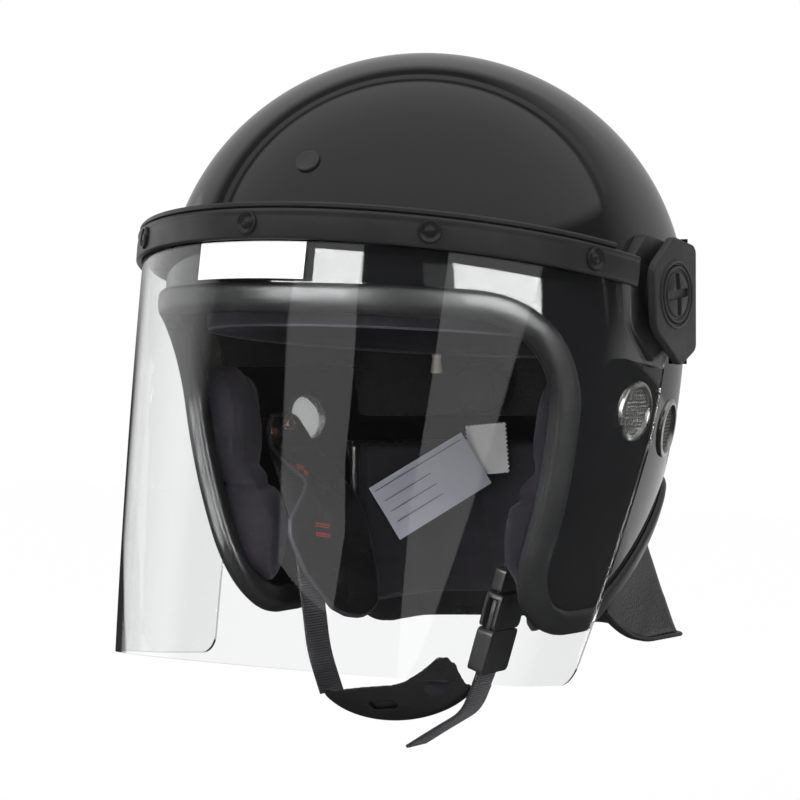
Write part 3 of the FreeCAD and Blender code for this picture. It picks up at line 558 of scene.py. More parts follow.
def true_normals(obj, field, sharp=0.9, reach=0.05):
    """Shade a cut piece by the gradient of a field, apart from faces that don't follow it."""
    mesh = obj.data
    slopes = []
    for vertex in mesh.vertices:
        x, y, z = vertex.co / MM
        slopes.append(Vector((
            field(x + reach, y, z) - field(x - reach, y, z),
            field(x, y + reach, z) - field(x, y - reach, z),
            field(x, y, z + reach) - field(x, y, z - reach))).normalized())
    normals = []
    for polygon in mesh.polygons:
        for index in polygon.vertices:
            along = polygon.normal.dot(slopes[index])
            if abs(along) > sharp:
                normals.append(slopes[index] if along > 0 else -slopes[index])
            else:
                normals.append(polygon.normal.copy())
    for polygon in mesh.polygons:
        polygon.use_smooth = True
    mesh.normals_split_custom_set(normals)


# Material nodes. The owner of a node is a material or the world

def node(owner, kind, inputs=None, **settings):
    """New node. Each input is a value or the output of another node."""
    made = owner.node_tree.nodes.new(kind)
    for key, value in settings.items():
        setattr(made, key, value)
    for key, value in (inputs or {}).items():
        if isinstance(value, bpy.types.NodeSocket):
            owner.node_tree.links.new(value, made.inputs[key])
        else:
            made.inputs[key].default_value = value
    return made


def calc(owner, operation, first, second=0.0):
    return node(owner, "ShaderNodeMath", {0: first, 1: second}, operation=operation).outputs["Value"]


def choose(owner, factor, first, second):
    """First where the factor is 0, second where it is 1."""
    return node(owner, "ShaderNodeMix", {"Factor": factor, "A": first, "B": second}).outputs["Result"]


def span(owner, value, low, high, to_low, to_high):
    """Map a value from one range to another, held at its ends."""
    ends = {"From Min": low, "From Max": high, "To Min": to_low, "To Max": to_high}
    return node(owner, "ShaderNodeMapRange", {"Value": value, **ends}).outputs["Result"]


def seen_straight(owner):
    """1 for what the camera sees, also through the clear sheet, and 0 in any reflection."""
    path = node(owner, "ShaderNodeLightPath").outputs
    bounced = calc(owner, "ADD", path["Glossy Depth"], path["Diffuse Depth"])
    through = calc(owner, "MULTIPLY", path["Is Transmission Ray"], calc(owner, "LESS_THAN", bounced, 0.5))
    return calc(owner, "MAXIMUM", path["Is Camera Ray"], through)


def glow(look, strength):
    inputs = {"Color": (1, 1, 1, 1), "Strength": strength}
    return node(look, "ShaderNodeEmission", inputs).outputs["Emission"]


def clear(look, color=(1, 1, 1, 1)):
    return node(look, "ShaderNodeBsdfTransparent", {"Color": color}).outputs["BSDF"]


def mix_shaders(look, factor, first, second):
    return node(look, "ShaderNodeMixShader", {0: factor, 1: first, 2: second}).outputs["Shader"]


def show(look, shader):
    look.node_tree.links.new(shader, look.node_tree.nodes["Material Output"].inputs["Surface"])


def new_look(name, color, roughness, metallic=0.0, **constants):
    """A material with one Principled shader and constant values on it."""
    look = bpy.data.materials.new(name)
    look.use_nodes = True
    shader = look.node_tree.nodes["Principled BSDF"]
    shader.inputs["Base Color"].default_value = (*color, 1.0)
    shader.inputs["Roughness"].default_value = roughness
    shader.inputs["Metallic"].default_value = metallic
    for key, value in constants.items():
        shader.inputs[key.replace("_", " ")].default_value = value
    return look


def put(look, value, key):
    """Let a node's output drive one input of the Principled shader."""
    look.node_tree.links.new(value, look.node_tree.nodes["Principled BSDF"].inputs[key])


def coordinates(look, stretch=(1.0, 1.0, 1.0), kind="Object"):
    """Coordinates on the piece, in metres, stretched along the axes."""
    where = node(look, "ShaderNodeTexCoord").outputs[kind]
    return node(look, "ShaderNodeMapping", {"Scale": stretch, "Vector": where}).outputs["Vector"]


def noise(look, scale, detail=3.0, rough=0.5, stretch=(1.0, 1.0, 1.0)):
    inputs = {"Scale": scale, "Detail": detail, "Roughness": rough, "Vector": coordinates(look, stretch)}
    return node(look, "ShaderNodeTexNoise", inputs).outputs["Fac"]


def cells(look, scale, feature="F1"):
    inputs = {"Scale": scale, "Vector": coordinates(look)}
    return node(look, "ShaderNodeTexVoronoi", inputs, feature=feature).outputs["Distance"]


def tone(look, factor, first, second):
    """Colour the surface from first to second by a factor."""
    mixed = node(look, "ShaderNodeMix", {"Factor": factor}, data_type="RGBA")
    colors = [s for s in mixed.inputs if s.type == "RGBA"]
    colors[0].default_value = (*first, 1.0)
    colors[1].default_value = (*second, 1.0)
    put(look, next(s for s in mixed.outputs if s.type == "RGBA"), "Base Color")


def gloss_from(look, factor, low, high):
    put(look, span(look, factor, 0.3, 0.7, low, high), "Roughness")


def relief(look, height, depth, strength, under=None):
    """Raise the surface by a height pattern, depth in metres, over an earlier relief."""
    inputs = {"Strength": strength, "Distance": depth, "Height": height}
    if under is not None:
        inputs["Normal"] = under
    raised = node(look, "ShaderNodeBump", inputs).outputs["Normal"]
    put(look, raised, "Normal")
    return raised


# Materials

def shell_paint():
    look = new_look("shell_gloss", (0.010, 0.010, 0.011), 0.05, IOR=1.5)
    tone(look, noise(look, 14.0), (0.008, 0.008, 0.009), (0.014, 0.014, 0.015))
    gloss_from(look, noise(look, 30.0, 5.0), 0.035, 0.075)
    relief(look, noise(look, 130.0, 1.0), 0.00001, 0.5)
    return look


def moulded_rubber():
    look = new_look("trim_rubber", (0.017, 0.017, 0.018), 0.36, IOR=1.5)
    tone(look, noise(look, 40.0), (0.013, 0.013, 0.014), (0.024, 0.024, 0.025))
    gloss_from(look, noise(look, 60.0, 4.0), 0.3, 0.42)
    relief(look, noise(look, 1400.0, 2.0), 0.00005, 0.35)
    return look


def moulded_plastic():
    look = new_look("black_plastic", (0.02, 0.02, 0.02), 0.42, IOR=1.5)
    tone(look, noise(look, 70.0), (0.014, 0.014, 0.0145), (0.03, 0.03, 0.0309))
    gloss_from(look, noise(look, 90.0, 4.0), 0.36, 0.5)
    relief(look, cells(look, 1900.0), 0.00006, 0.3)
    return look


def coated_metal():
    look = new_look("black_metal", (0.03, 0.03, 0.031), 0.16, 0.6)
    tone(look, noise(look, 120.0), (0.02, 0.02, 0.021), (0.05, 0.05, 0.052))
    gloss_from(look, noise(look, 300.0, 4.0), 0.12, 0.24)
    return look


def brushed_fabric():
    """Loop fabric with a soft nap: streaks where it is brushed, and fine tufts."""
    dark = (0.007, 0.0063, 0.009)
    tint = (0.55, 0.5, 0.62, 1.0)
    look = new_look("brushed_fabric", dark, 0.95, Sheen_Weight=0.13, Sheen_Roughness=0.5, Sheen_Tint=tint)
    fine = noise(look, 1500.0, 2.0, 0.7)
    streak = noise(look, 60.0, 4.0, 0.65, (1.0, 0.6, 1.8))
    both = calc(look, "ADD", calc(look, "MULTIPLY", fine, 0.6), calc(look, "MULTIPLY", streak, 0.6))
    tone(look, span(look, both, 0.4, 0.85, 0, 1), dark, (0.020, 0.0175, 0.0245))
    relief(look, fine, 0.0004, 0.5, relief(look, streak, 0.0006, 0.4))
    return look


def speckled_foam(name, dark, light, share):
    """Open foam: dark pores with a few pale specks."""
    look = new_look(name, dark, 0.85)
    tone(look, span(look, noise(look, 1100.0, 3.0, 0.8), share, share + 0.12, 0, 1), dark, light)
    relief(look, noise(look, 1800.0), 0.0003, 0.5, relief(look, cells(look, 700.0), 0.0005, 0.5))
    return look


def leather(name, rough, grain):
    look = new_look(name, (0.014, 0.014, 0.015), rough, IOR=1.5)
    tone(look, noise(look, 35.0, 4.0), (0.010, 0.010, 0.011), (0.022, 0.022, 0.023))
    gloss_from(look, noise(look, 50.0, 4.0), rough - 0.08, rough + 0.1)
    folds = relief(look, noise(look, 24.0, 3.0), 0.0012, 0.35)
    relief(look, cells(look, grain, "SMOOTH_F1"), 0.0003, 0.45, folds)
    return look


def woven_tape():
    """Woven nylon tape: ribs across it and threads along it. Its colour has painted shade in the grooves and
    a painted highlight on the rib tops, over random mottle.
    """
    look = new_look("webbing", (0.028, 0.027, 0.032), 0.62, Sheen_Weight=0.2, Sheen_Roughness=0.4)
    along = node(look, "ShaderNodeSeparateXYZ", {"Vector": coordinates(look, kind="UV")}).outputs
    rib = calc(look, "SINE", calc(look, "MULTIPLY", along["X"], 2 * math.pi / 0.0014))
    thread = calc(look, "SINE", calc(look, "MULTIPLY", along["Y"], 2 * math.pi / 0.0009))
    weave = calc(look, "ADD", rib, calc(look, "MULTIPLY", thread, 0.45))
    # Colour from the weave's height: painted shade in its grooves and a painted highlight on its ribs, plus
    # random tone from the noise
    weave_shade_and_mottle = calc(look, "ADD", weave, noise(look, 300.0))
    tone(look, span(look, weave_shade_and_mottle, -0.9, 2.0, 0, 1), (0.014, 0.013, 0.016), (0.055, 0.051, 0.062))
    relief(look, weave, 0.00022, 0.8)
    return look


def bare_metal(name, color, rough):
    look = new_look(name, color, rough, 1.0)
    tone(look, noise(look, 200.0), tuple(c * 0.86 for c in color), color)
    gloss_from(look, noise(look, 400.0, 4.0), rough - 0.06, rough + 0.1)
    return look


def plain_label(name, low, high, rough):
    """Cloth, vinyl or thread of one colour, a little uneven."""
    look = new_look(name, high, rough)
    tone(look, noise(look, 60.0, 4.0), low, high)
    relief(look, noise(look, 1600.0, 2.0), 0.00008, 0.25)
    return look


def piping_cloth():
    look = new_look("piping", (0.045, 0.043, 0.052), 0.45)
    tone(look, noise(look, 500.0), (0.03, 0.028, 0.036), (0.075, 0.07, 0.085))
    return look


def clear_sheet():
    """Clear polycarbonate. Lamps and bounced light reach what is behind it."""
    look = new_look("clear_polycarbonate", (0.985, 0.992, 0.99), 0.0, IOR=1.5, Transmission_Weight=1.0)
    path = node(look, "ShaderNodeLightPath").outputs
    passing = calc(look, "MAXIMUM", path["Is Shadow Ray"], path["Is Diffuse Ray"])
    surface = look.node_tree.nodes["Principled BSDF"].outputs["BSDF"]
    show(look, mix_shaders(look, passing, surface, clear(look, (0.94, 0.95, 0.95, 1.0))))
    return look


looks = {
    "shell_gloss": shell_paint(),
    "trim_rubber": moulded_rubber(),
    "black_plastic": moulded_plastic(),
    "black_metal": coated_metal(),
    "brushed_fabric": brushed_fabric(),
    "speckled_foam": speckled_foam("speckled_foam", (0.012, 0.012, 0.011), (0.11, 0.11, 0.10), 0.69),
    "liner_foam": speckled_foam("liner_foam", (0.010, 0.010, 0.009), (0.05, 0.05, 0.045), 0.74),
    "guard_leather": leather("guard_leather", 0.3, 850.0),
    "smooth_vinyl": leather("smooth_vinyl", 0.3, 1500.0),
    "cup_leather": leather("cup_leather", 0.38, 1000.0),
    "webbing": woven_tape(),
    "grille_metal": bare_metal("grille_metal", (0.55, 0.55, 0.54), 0.3),
    "mesh_metal": bare_metal("mesh_metal", (0.40, 0.40, 0.39), 0.42),
    "brass": bare_metal("brass", (0.72, 0.45, 0.2), 0.25),
    "white_vinyl": plain_label("white_vinyl", (0.86, 0.86, 0.86), (0.92, 0.92, 0.92), 0.25),
    "pale_label": plain_label("pale_label", (0.62, 0.63, 0.74), (0.76, 0.77, 0.86), 0.7),
    "white_felt": plain_label("white_felt", (0.74, 0.73, 0.72), (0.88, 0.87, 0.86), 0.9),
    "cream_plastic": plain_label("cream_plastic", (0.58, 0.52, 0.44), (0.74, 0.68, 0.58), 0.4),
    "clear_polycarbonate": clear_sheet(),
    "red_thread": plain_label("red_thread", (0.35, 0.02, 0.02), (0.55, 0.03, 0.03), 0.8),
    "dark_thread": plain_label("dark_thread", (0.008, 0.008, 0.009), (0.02, 0.02, 0.022), 0.8),
    "piping": piping_cloth(),
}


# Camera, light, world, softbox cards and floor

def make_camera():
    azimuth, elevation, roll = (math.radians(v) for v in (camera_azimuth, camera_elevation, camera_roll))
    ahead = Vector((math.sin(azimuth), -math.cos(azimuth), 0)) * math.cos(elevation)
    back = ahead + Vector((0, 0, math.sin(elevation)))
    right = Vector((math.cos(azimuth), math.sin(azimuth), 0))
    up = back.cross(right)
    turned_right = right * math.cos(roll) + up * math.sin(roll)
    turned_up = up * math.cos(roll) - right * math.sin(roll)
    data = bpy.data.cameras.new("camera")
    data.lens = camera_lens
    data.sensor_width = 36.0
    data.clip_start = 0.01
    data.clip_end = 50.0
    camera = link(data, "camera")
    turn = Matrix((turned_right, turned_up, back)).transposed()
    camera.matrix_world = Matrix.Translation(Vector(camera_place) * MM) @ turn.to_4x4()
    bpy.context.scene.camera = camera


def area_light(name, place, aim, width, height, power):
    """Lamp that lights the helmet but isn't seen in its gloss."""
    data = bpy.data.lights.new(name, "AREA")
    data.shape = "RECTANGLE"
    data.size = width
    data.size_y = height
    data.energy = power
    lamp = link(data, name)
    lamp.rotation_mode = "QUATERNION"
    lamp.rotation_quaternion = (Vector(aim) - Vector(place)).normalized().to_track_quat("-Z", "Y")
    lamp.location = Vector(place) * MM
    lamp.visible_glossy = False
    lamp.visible_transmission = False


def make_world():
    """White where the camera looks, the studio for gloss and a plain level otherwise."""
    world = bpy.data.worlds.new("studio")
    bpy.context.scene.world = world
    world.use_nodes = True

    def steps(value, stops):
        """Level along one direction, through (place, level) stops."""
        ramp = node(world, "ShaderNodeValToRGB", {"Fac": span(world, value, -1.0, 1.0, 0.0, 1.0)})
        marks = ramp.color_ramp.elements
        for k, (where, level) in enumerate(stops):
            mark = marks[k] if k < 2 else marks.new(1.0)
            mark.position = 0.5 + 0.5 * where
            mark.color = (level, level, level, 1.0)
        return ramp.outputs["Color"]

    direction = node(world, "ShaderNodeTexCoord").outputs["Generated"]
    axes = node(world, "ShaderNodeSeparateXYZ", {"Vector": direction}).outputs
    leaning = node(world, "ShaderNodeVectorMath", {0: direction, 1: softbox_lean}, operation="DOT_PRODUCT")
    across = leaning.outputs["Value"]
    gloss = steps(axes["Y"], rear_stops)
    for along, stops, end_along, end_stops in (
            (across, ceiling_stops, axes["Z"], ceiling_end_stops),
            (across, rim_stops, axes["Z"], rim_end_stops),
            (axes["X"], left_stops, axes["Z"], left_end_stops)):
        light = calc(world, "MULTIPLY", steps(along, stops), steps(end_along, end_stops))
        gloss = calc(world, "MAXIMUM", gloss, light)
    gloss = calc(world, "MAXIMUM", gloss, front_level)
    path = node(world, "ShaderNodeLightPath").outputs
    shiny = calc(world, "MAXIMUM", path["Is Glossy Ray"], path["Is Transmission Ray"])
    level = choose(world, shiny, world_level, gloss)
    background = world.node_tree.nodes["Background"]
    background.inputs["Color"].default_value = (1, 1, 1, 1)
    world.node_tree.links.new(choose(world, seen_straight(world), level, 1.0), background.inputs["Strength"])


def toward(azimuth, elevation, distance):
    """Point in a direction from the helmet: azimuth from straight ahead toward the wearer's left."""
    a, e = math.radians(azimuth), math.radians(elevation)
    flat = distance * math.cos(e)
    return flat * math.sin(a), -flat * math.cos(a), distance * math.sin(e)


def glow_card(name, corners, distance, level, inner_level):
    """Card of a softbox: one level in open gloss, another on what shines behind the face shield."""
    look = bpy.data.materials.new(name)
    look.use_nodes = True
    look.node_tree.nodes.remove(look.node_tree.nodes["Principled BSDF"])
    path = node(look, "ShaderNodeLightPath").outputs
    inner = calc(look, "GREATER_THAN", path["Transmission Depth"], 3.5)
    in_open = calc(look, "MULTIPLY", path["Is Singular Ray"], 1.0 if level else 0.0)
    bright = glow(look, span(look, inner, 0.0, 1.0, level, inner_level))
    show(look, mix_shaders(look, calc(look, "MAXIMUM", inner, in_open), clear(look), bright))
    card = solid(name, [toward(*corner, distance) for corner in corners], [tuple(range(len(corners)))])
    card.data.materials.append(look)
    card.visible_camera = False
    card.visible_diffuse = False
    card.visible_shadow = False


def make_floor():
    """White to the camera, dull in gloss but for a paler part behind the helmet, and clear from below."""
    look = new_look("floor", (0.9, 0.9, 0.9), 0.9)
    path = node(look, "ShaderNodeLightPath").outputs
    surface = look.node_tree.nodes["Principled BSDF"].outputs["BSDF"]
    white = calc(look, "MULTIPLY", seen_straight(look), floor_whiteness)
    lit = mix_shaders(look, white, surface, glow(look, 1.0))
    axes = node(look, "ShaderNodeSeparateXYZ", {"Vector": coordinates(look)}).outputs
    behind = span(look, axes["Y"], *rear_floor_span, front_level, rear_floor_level)
    open_air = calc(look, "LESS_THAN", path["Transmission Depth"], 0.5)
    rough_ray = calc(look, "SUBTRACT", 1.0, path["Is Singular Ray"])
    pale = calc(look, "MULTIPLY", behind, calc(look, "MULTIPLY", open_air, rough_ray))
    dull = glow(look, calc(look, "MAXIMUM", pale, front_level))
    upper = mix_shaders(look, calc(look, "GREATER_THAN", path["Glossy Depth"], 0.5), lit, dull)
    below = node(look, "ShaderNodeNewGeometry").outputs["Backfacing"]
    show(look, mix_shaders(look, below, upper, clear(look)))
    floor = solid("floor", box_corners(floor_reach, floor_reach, floor_level), [(0, 1, 2, 3)])
    if floor.data.polygons[0].normal.z < 0:
        floor.data.flip_normals()
    floor.data.materials.append(look)


# Shell and trim

def make_shell():
    shell = shell_ball("shell_body", 0.0)
    cut(shell, shell_ball("inside", -shell_wall))
    above_edge = edge_outline() + [Vector((far, far)), Vector((-far, far))]
    cut(shell, prism("above_edge", above_edge, -far, far), "INTERSECT")
    for side in (1, -1):
        for place in grille_places:
            cut(shell, rod(*seat_on_side(*place, side), grille_hole_radius, -20, 20))
        cut(shell, rod(*seat_on_side(*strap_stud_place, side), 2.6, -20, 20))
    cut(shell, rod(*seat_on_front(*plug_place), 4.1, -20, 20))
    true_normals(shell, shell_share)
    finish(shell, "shell_gloss", "shell", sharp=None)


def make_trim():
    """Rubber moulding that grips the shell's edge: a full roll outside and a flatter one inside."""
    inner = -shell_wall - trim_thickness
    groove = -shell_wall - 0.15
    profile = [
        (0.1, trim_cover), (1.3, 10.9), (2.4, 10.1), (3.2, 8.6), (3.6, 6.4), (3.7, 4.0), (3.6, 1.6),
        (3.2, -0.4), (2.4, -1.9), (1.0, -2.8), (-0.8, -3.1), (-1.9, -2.6), (-3.0, -3.1), (-5.0, -2.8),
        (-6.4, -1.8), (-7.2, -0.2), (inner, 2.0), (inner, 5.0), (-7.4, 8.0), (-6.8, 10.0), (-5.6, 10.9),
        (-4.3, trim_cover), (groove, 10.6), (groove, 0.2), (0.0, 0.2), (0.0, 10.6)]
    trim = sweep("edge_roll", edge_path(3.0), profile, closed=True)
    finish(trim, "trim_rubber", "edge_trim", sharp=50.0)


# Face shield

lean_turn = Matrix.Rotation(math.radians(-shield_lean), 3, "X")
upright_turn = Matrix.Rotation(math.radians(shield_lean), 3, "X")


def around_front(turn, radius, height):
    """Leaned point on an arc about the shield's front, turn radians from its middle."""
    return lean_turn @ Vector((radius * math.sin(turn), arc_centre_y - radius * math.cos(turn), height))


def outward(turn):
    return lean_turn @ Vector((math.sin(turn), -math.cos(turn), 0))


def narrowing(height):
    """How much narrower the sheet is at a height than at its top: a parabola through three levels."""
    levels = ((shield_top, 0.0), (shield_middle, middle_narrowing), (shield_bottom, bottom_narrowing))
    total = 0.0
    for level, amount in levels:
        for other, _ in levels:
            if other != level:
                amount *= (height - other) / (level - other)
        total += amount
    return total


def shield_circle(height):
    """Radius of the sheet's front half circle at a height and the y of its centre."""
    amount = narrowing(height)
    radius = shield_radius - amount
    return radius, radius - shield_front - front_advance * amount / bottom_narrowing


def sheet_field(x, y, z):
    """Distance outside the sheet's outer face, in the leaned place."""
    back = upright_turn @ Vector((x, y, z))
    radius, centre_y = shield_circle(back.z)
    if back.y < centre_y:
        return math.hypot(back.x, back.y - centre_y) - radius
    return abs(back.x) - radius + leg_toe_in * (back.y - centre_y) / (shield_leg - centre_y)


def sheet_block(name, inset, reach):
    """Closed block inside the sheet's outer face, moved in by inset."""
    rows, arc, legs = 54, 96, 12
    points = []
    for i in range(rows):
        height = shield_bottom - reach + (shield_top - shield_bottom + 2 * reach) * i / (rows - 1)
        radius, centre_y = shield_circle(height)
        r = radius - inset
        leg = []
        for k in range(legs):
            share = k / legs
            leg.append((r - leg_toe_in * (1 - share), shield_leg + inset + (centre_y - shield_leg) * share))
        turns = [math.pi * k / arc for k in range(arc + 1)]
        front = [(r * math.cos(turn), centre_y - r * math.sin(turn)) for turn in turns]
        ring = leg + front + [(-x, y) for x, y in reversed(leg)]
        points += [(x, y, height) for x, y in ring]
    return skin(name, points, 2 * legs + arc + 1)


def screw_seat(angle):
    turn = math.radians(angle)
    return around_front(turn, shield_radius + strip_thickness, (strip_low + strip_high) / 2), outward(turn)


def drill_screws(obj, radius):
    for angle in screw_angles:
        cut(obj, rod(*screw_seat(angle), radius, -20, 20, 24))


def make_visor():
    sheet = sheet_block("shield_clear", 0.0, 4.0)
    cut(sheet, sheet_block("inner", shield_thickness, 8.0))
    corners = [
        (-far, shield_top, 0), (13.0, shield_top, 10.0), (13.0, -70.0, 60.0),
        (-12.0, shield_bottom + 8, 14.0), (-60.0, shield_bottom + 5, 40.0), (-far, shield_bottom + 0.5, 0)]
    cut(sheet, prism("outline", rounded(corners, 3.0), -far, far), "INTERSECT")
    sheet.data.transform(lean_turn.to_4x4())
    cut(sheet, rod((0, 0, 0), (1, 0, 0), bush_diameter / 2 + bush_clearance, -far, far, 64))
    drill_screws(sheet, screw_bore)
    bevel(sheet, 0.35, 2, 50.0)
    true_normals(sheet, sheet_field)
    finish(sheet, "clear_polycarbonate", "shield_sheet", body="shield", sharp=None)


def make_strip():
    """Moulded strip: a gently crowned face, a bead along its top and rounded edges."""
    profile = [
        (0.2, 0.4), (1.6, 0.0), (2.5, 0.2), (3.0, 0.8), (3.15, 1.6), (3.2, 4.0), (3.35, 7.5), (3.2, 10.6),
        (3.1, 11.6), (3.3, 12.2), (3.5, 13.2), (3.3, 14.2), (2.6, 14.8), (1.6, 15.0), (0.2, 14.8)]
    up = lean_turn @ Vector((0, 0, 1))
    path = []
    for turn in turns_across(strip_half_angle, int(strip_half_angle)):
        path.append((around_front(turn, shield_radius, strip_low), outward(turn), up))
    strip = sweep("shield_band", path, profile)
    drill_screws(strip, screw_bore)
    finish(strip, "trim_rubber", "shield_strip", body="shield", sharp=40.0)


def reach_to_shell(turn, height):
    """Distance from the shield's arc centre out to the seal's clearance from the shell, at one height."""
    low, high = 40.0, 200.0
    for _ in range(40):
        middle = (low + high) / 2
        inside = shell_share(*around_front(turn, middle, height), seal_clearance) < 1
        low, high = (middle, high) if inside else (low, middle)
    return low


def make_seal():
    """Rubber seal that fills the gap between the strip and the forehead, with a lip above the strip."""
    inside = shield_radius - shield_thickness - 1.4
    lip = shield_radius + strip_thickness - 0.4
    top = strip_high + 3.0
    foot = strip_low + 5
    outer = [
        (inside, foot), (inside, strip_high), (lip - 0.8, strip_high + 0.25), (lip, strip_high + 0.8),
        (lip, top - 0.9), (lip - 0.8, top), (lip - 3.0, top + 0.2)]
    heights = (top, (top + strip_low) / 2 + 2, foot)
    points = []
    for turn in turns_across(seal_half_angle, 120):
        inner = [(min(reach_to_shell(turn, height), inside - 0.5), height) for height in heights]
        points += [around_front(turn, radius, height) for radius, height in outer + inner]
    seal = skin("shield_gasket", points, len(outer) + len(inner))
    drill_screws(seal, 4.5)
    finish(seal, "trim_rubber", "shield_seal", body="shield", sharp=40.0)


def make_screws():
    """Dished screw heads with a dome in the middle."""
    profile = [
        (0.01, 1.35), (0.9, 1.3), (1.8, 1.05), (2.4, 0.6), (2.8, 0.35), (3.3, 0.4), (4.1, 0.85), (4.7, 1.3),
        (5.1, 1.45), (5.4, 1.25), (5.5, 0.8), (5.5, 0.05), (2.0, 0.05), (2.0, -8.7), (0.01, -8.7)]
    heads = [lathe("head", profile, *screw_seat(angle), 40) for angle in screw_angles]
    finish(join("shield_rivets", heads), "black_metal", "shield_screws", body="shield", sharp=60.0)


# Pivot housings and knobs

def housing_outline(grow):
    corners = [
        (-2.0 - grow, 28.0 + grow, 5.0), (21.0 + grow, 24.0 + grow, 5.0), (22.0 + grow, -27.0 - grow, 5.0),
        (6.0, -35.0 - grow, 5.0), (-20.0 - grow, -17.0, 9.0), (-23.0 - grow, 13.0, 9.0)]
    return rounded(corners, 6.0, closed=True)


def pivot_rod(radius, start, end, segments):
    return rod((0, 0, 0), (1, 0, 0), radius, start, end, segments)


def make_housing():
    """Cover with a round well for the knob, and the wall behind the sheet's ear."""
    cover = prism("pivot_housing", housing_outline(0.0), cover_low, cover_high)
    bevel(cover, 1.1, 4, 40.0)
    rim = [(15.0, 0.3), (16.9, 0.3), (16.6, 1.0), (15.9, 1.25), (15.3, 1.0)]
    cut(cover, lathe("rim", rim, (cover_high - 0.35, 0, 0), (1, 0, 0), 72, closed=True), "UNION")
    cut(cover, pivot_rod(knob_well, cover_low + 1.2, far, 72))
    cut(cover, pivot_rod(3.2, 90, far, 32))
    wall = [Vector((max(p.x, 19.5), p.y)) for p in housing_outline(-0.15)]
    cut(cover, prism("wall", wall, plate_inner - base_drop, cover_low + 0.3), "UNION")
    on_both_sides(cover, "black_plastic", "pivot_cover")


def make_housing_base():
    base = prism("pivot_mount", housing_outline(1.5), 113.0, plate_inner - base_drop)
    bevel(base, 1.0, 3, 40.0)
    cut(base, pivot_rod(bush_diameter / 2 + 3, 113.5, plate_inner - 2.0, 48), "UNION")
    cut(base, shell_ball("shell_space", 0.15))
    cut(base, pivot_rod(3.1, 90, 150, 32))
    on_both_sides(base, "black_plastic", "pivot_base")


def make_knob():
    """Clamping knob: a rolled rim, a groove inside it and a raised core with a crossed slot."""
    foot = cover_low + 1.5
    profile = [
        (3.06, 2.1), (3.06, 0.0), (13.4, 0.0), (13.9, 0.4), (14.0, 1.2), (14.0, 3.3), (13.8, 3.8),
        (13.2, 4.0), (12.8, 3.9), (12.5, 3.5), (12.4, 3.1), (11.4, 3.0), (11.1, 3.2), (11.0, 3.6),
        (10.6, 3.95), (6.0, 4.25), (0.01, 4.3), (0.01, 2.1)]
    knob = lathe("shield_knob", profile, (foot, 0, 0), (1, 0, 0), 96)
    for turn in (8.0, 98.0):
        slot = prism("slot", rounded(box_corners(10.4, 2.1, 1.2), 15.0, True), foot + 2.4, foot + 8)
        slot.data.transform(Matrix.Rotation(math.radians(turn), 4, "X"))
        cut(knob, slot)
    bevel(knob, 0.25, 2, 45.0)
    on_both_sides(knob, "black_plastic", "pivot_knob", body="knob_{}", sharp=40.0)


# Ear grilles, strap studs and the forehead plug

def woven_disc(centre, n, radius, pitch, wire_radius):
    """Plain weave of round wires in a disc: each wire passes over one and under the next."""
    u = n.orthogonal().normalized()
    v = n.cross(u)
    ring = circle(wire_radius, 6)
    wires = []
    steps = int(radius / pitch)
    for across, along, phase in ((u, v, 0), (v, u, 1)):
        for i in range(-steps, steps + 1):
            offset = i * pitch
            half = math.sqrt(max(radius ** 2 - offset ** 2, 0)) - 0.05
            if half < pitch:
                continue
            count = max(4, int(2 * half / (pitch / 4)))
            path = []
            for k in range(count + 1):
                s = -half + 2 * half * k / count
                wave = math.cos(math.pi * (s / pitch + i + phase)) * wire_radius * 0.95
                path.append((centre + across * offset + along * s + n * wave, n, across))
            wires.append(sweep("wire", path, ring))
    return join("weave", wires)


def make_grilles():
    profile = [
        (12.0, -5.2), (12.0, 0.6), (12.3, 1.2), (12.9, 1.4), (13.9, 1.3), (14.7, 0.9), (15.0, 0.3),
        (15.0, -0.9), (13.05, -0.9), (13.05, -4.2), (13.5, -4.25), (13.5, -5.2)]
    rims = []
    meshes = []
    for place in grille_places:
        centre, n = seat_on_side(*place)
        rims.append(lathe("rim", profile, centre, n, 72, closed=True))
        meshes.append(woven_disc(centre - n * 1.2, n, 11.95, 1.3, 0.24))
    on_both_sides(join("grille_rings", rims), "grille_metal", "grille_rims")
    on_both_sides(join("grille_weaves", meshes), "mesh_metal", "grille_meshes", sharp=60.0)


def make_studs():
    inner = -strap_stack
    profile = [
        (0.01, 2.4), (1.8, 2.25), (3.4, 1.7), (4.5, 0.9), (5.0, 0.3), (4.9, 0.05), (2.5, 0.02), (2.5, inner),
        (0.01, inner)]
    seat = seat_on_side(*strap_stud_place)
    on_both_sides(lathe("strap_rivet", profile, *seat, 40), "black_metal", "strap_stud", sharp=60.0)
    nut_profile = [(4.5, inner - 0.4), (4.5, inner + 3.0), (2.55, inner + 3.2), (2.55, inner - 0.6)]
    nut = bevel(lathe("rivet_nut", nut_profile, *seat, 6, closed=True), 0.4, 2, 25.0)
    on_both_sides(nut, "brass", "strap_nut", sharp=30.0)


def make_plug():
    profile = [
        (0.01, 0.55), (2.6, 0.65), (4.2, 0.95), (5.0, 1.3), (5.5, 1.35), (5.9, 1.1), (6.0, 0.6), (6.0, 0.02),
        (4.0, 0.02), (4.0, -4.6), (0.01, -4.6)]
    plug = lathe("brow_plug", profile, *seat_on_front(*plug_place))
    finish(plug, "black_plastic", "forehead_plug", sharp=50.0)


# Padding and soft pieces, grown from the space that their CAD solids hold

def copy_of(source, name):
    return link(bpy.data.objects[source].data.copy(), name)


def soft_copy(source, name, voxel, rounds, swell=0.0, finer=True):
    """Even mesh over a CAD solid, rounded off and swollen a little."""
    obj = copy_of(source, name)
    change(obj, "REMESH", mode="VOXEL", voxel_size=voxel * MM)
    if swell:
        change(obj, "DISPLACE", strength=swell * MM, mid_level=0.0)
    change(obj, "SMOOTH", factor=0.5, iterations=rounds)
    if finer:
        change(obj, "SUBSURF", levels=1, render_levels=1)
    return obj


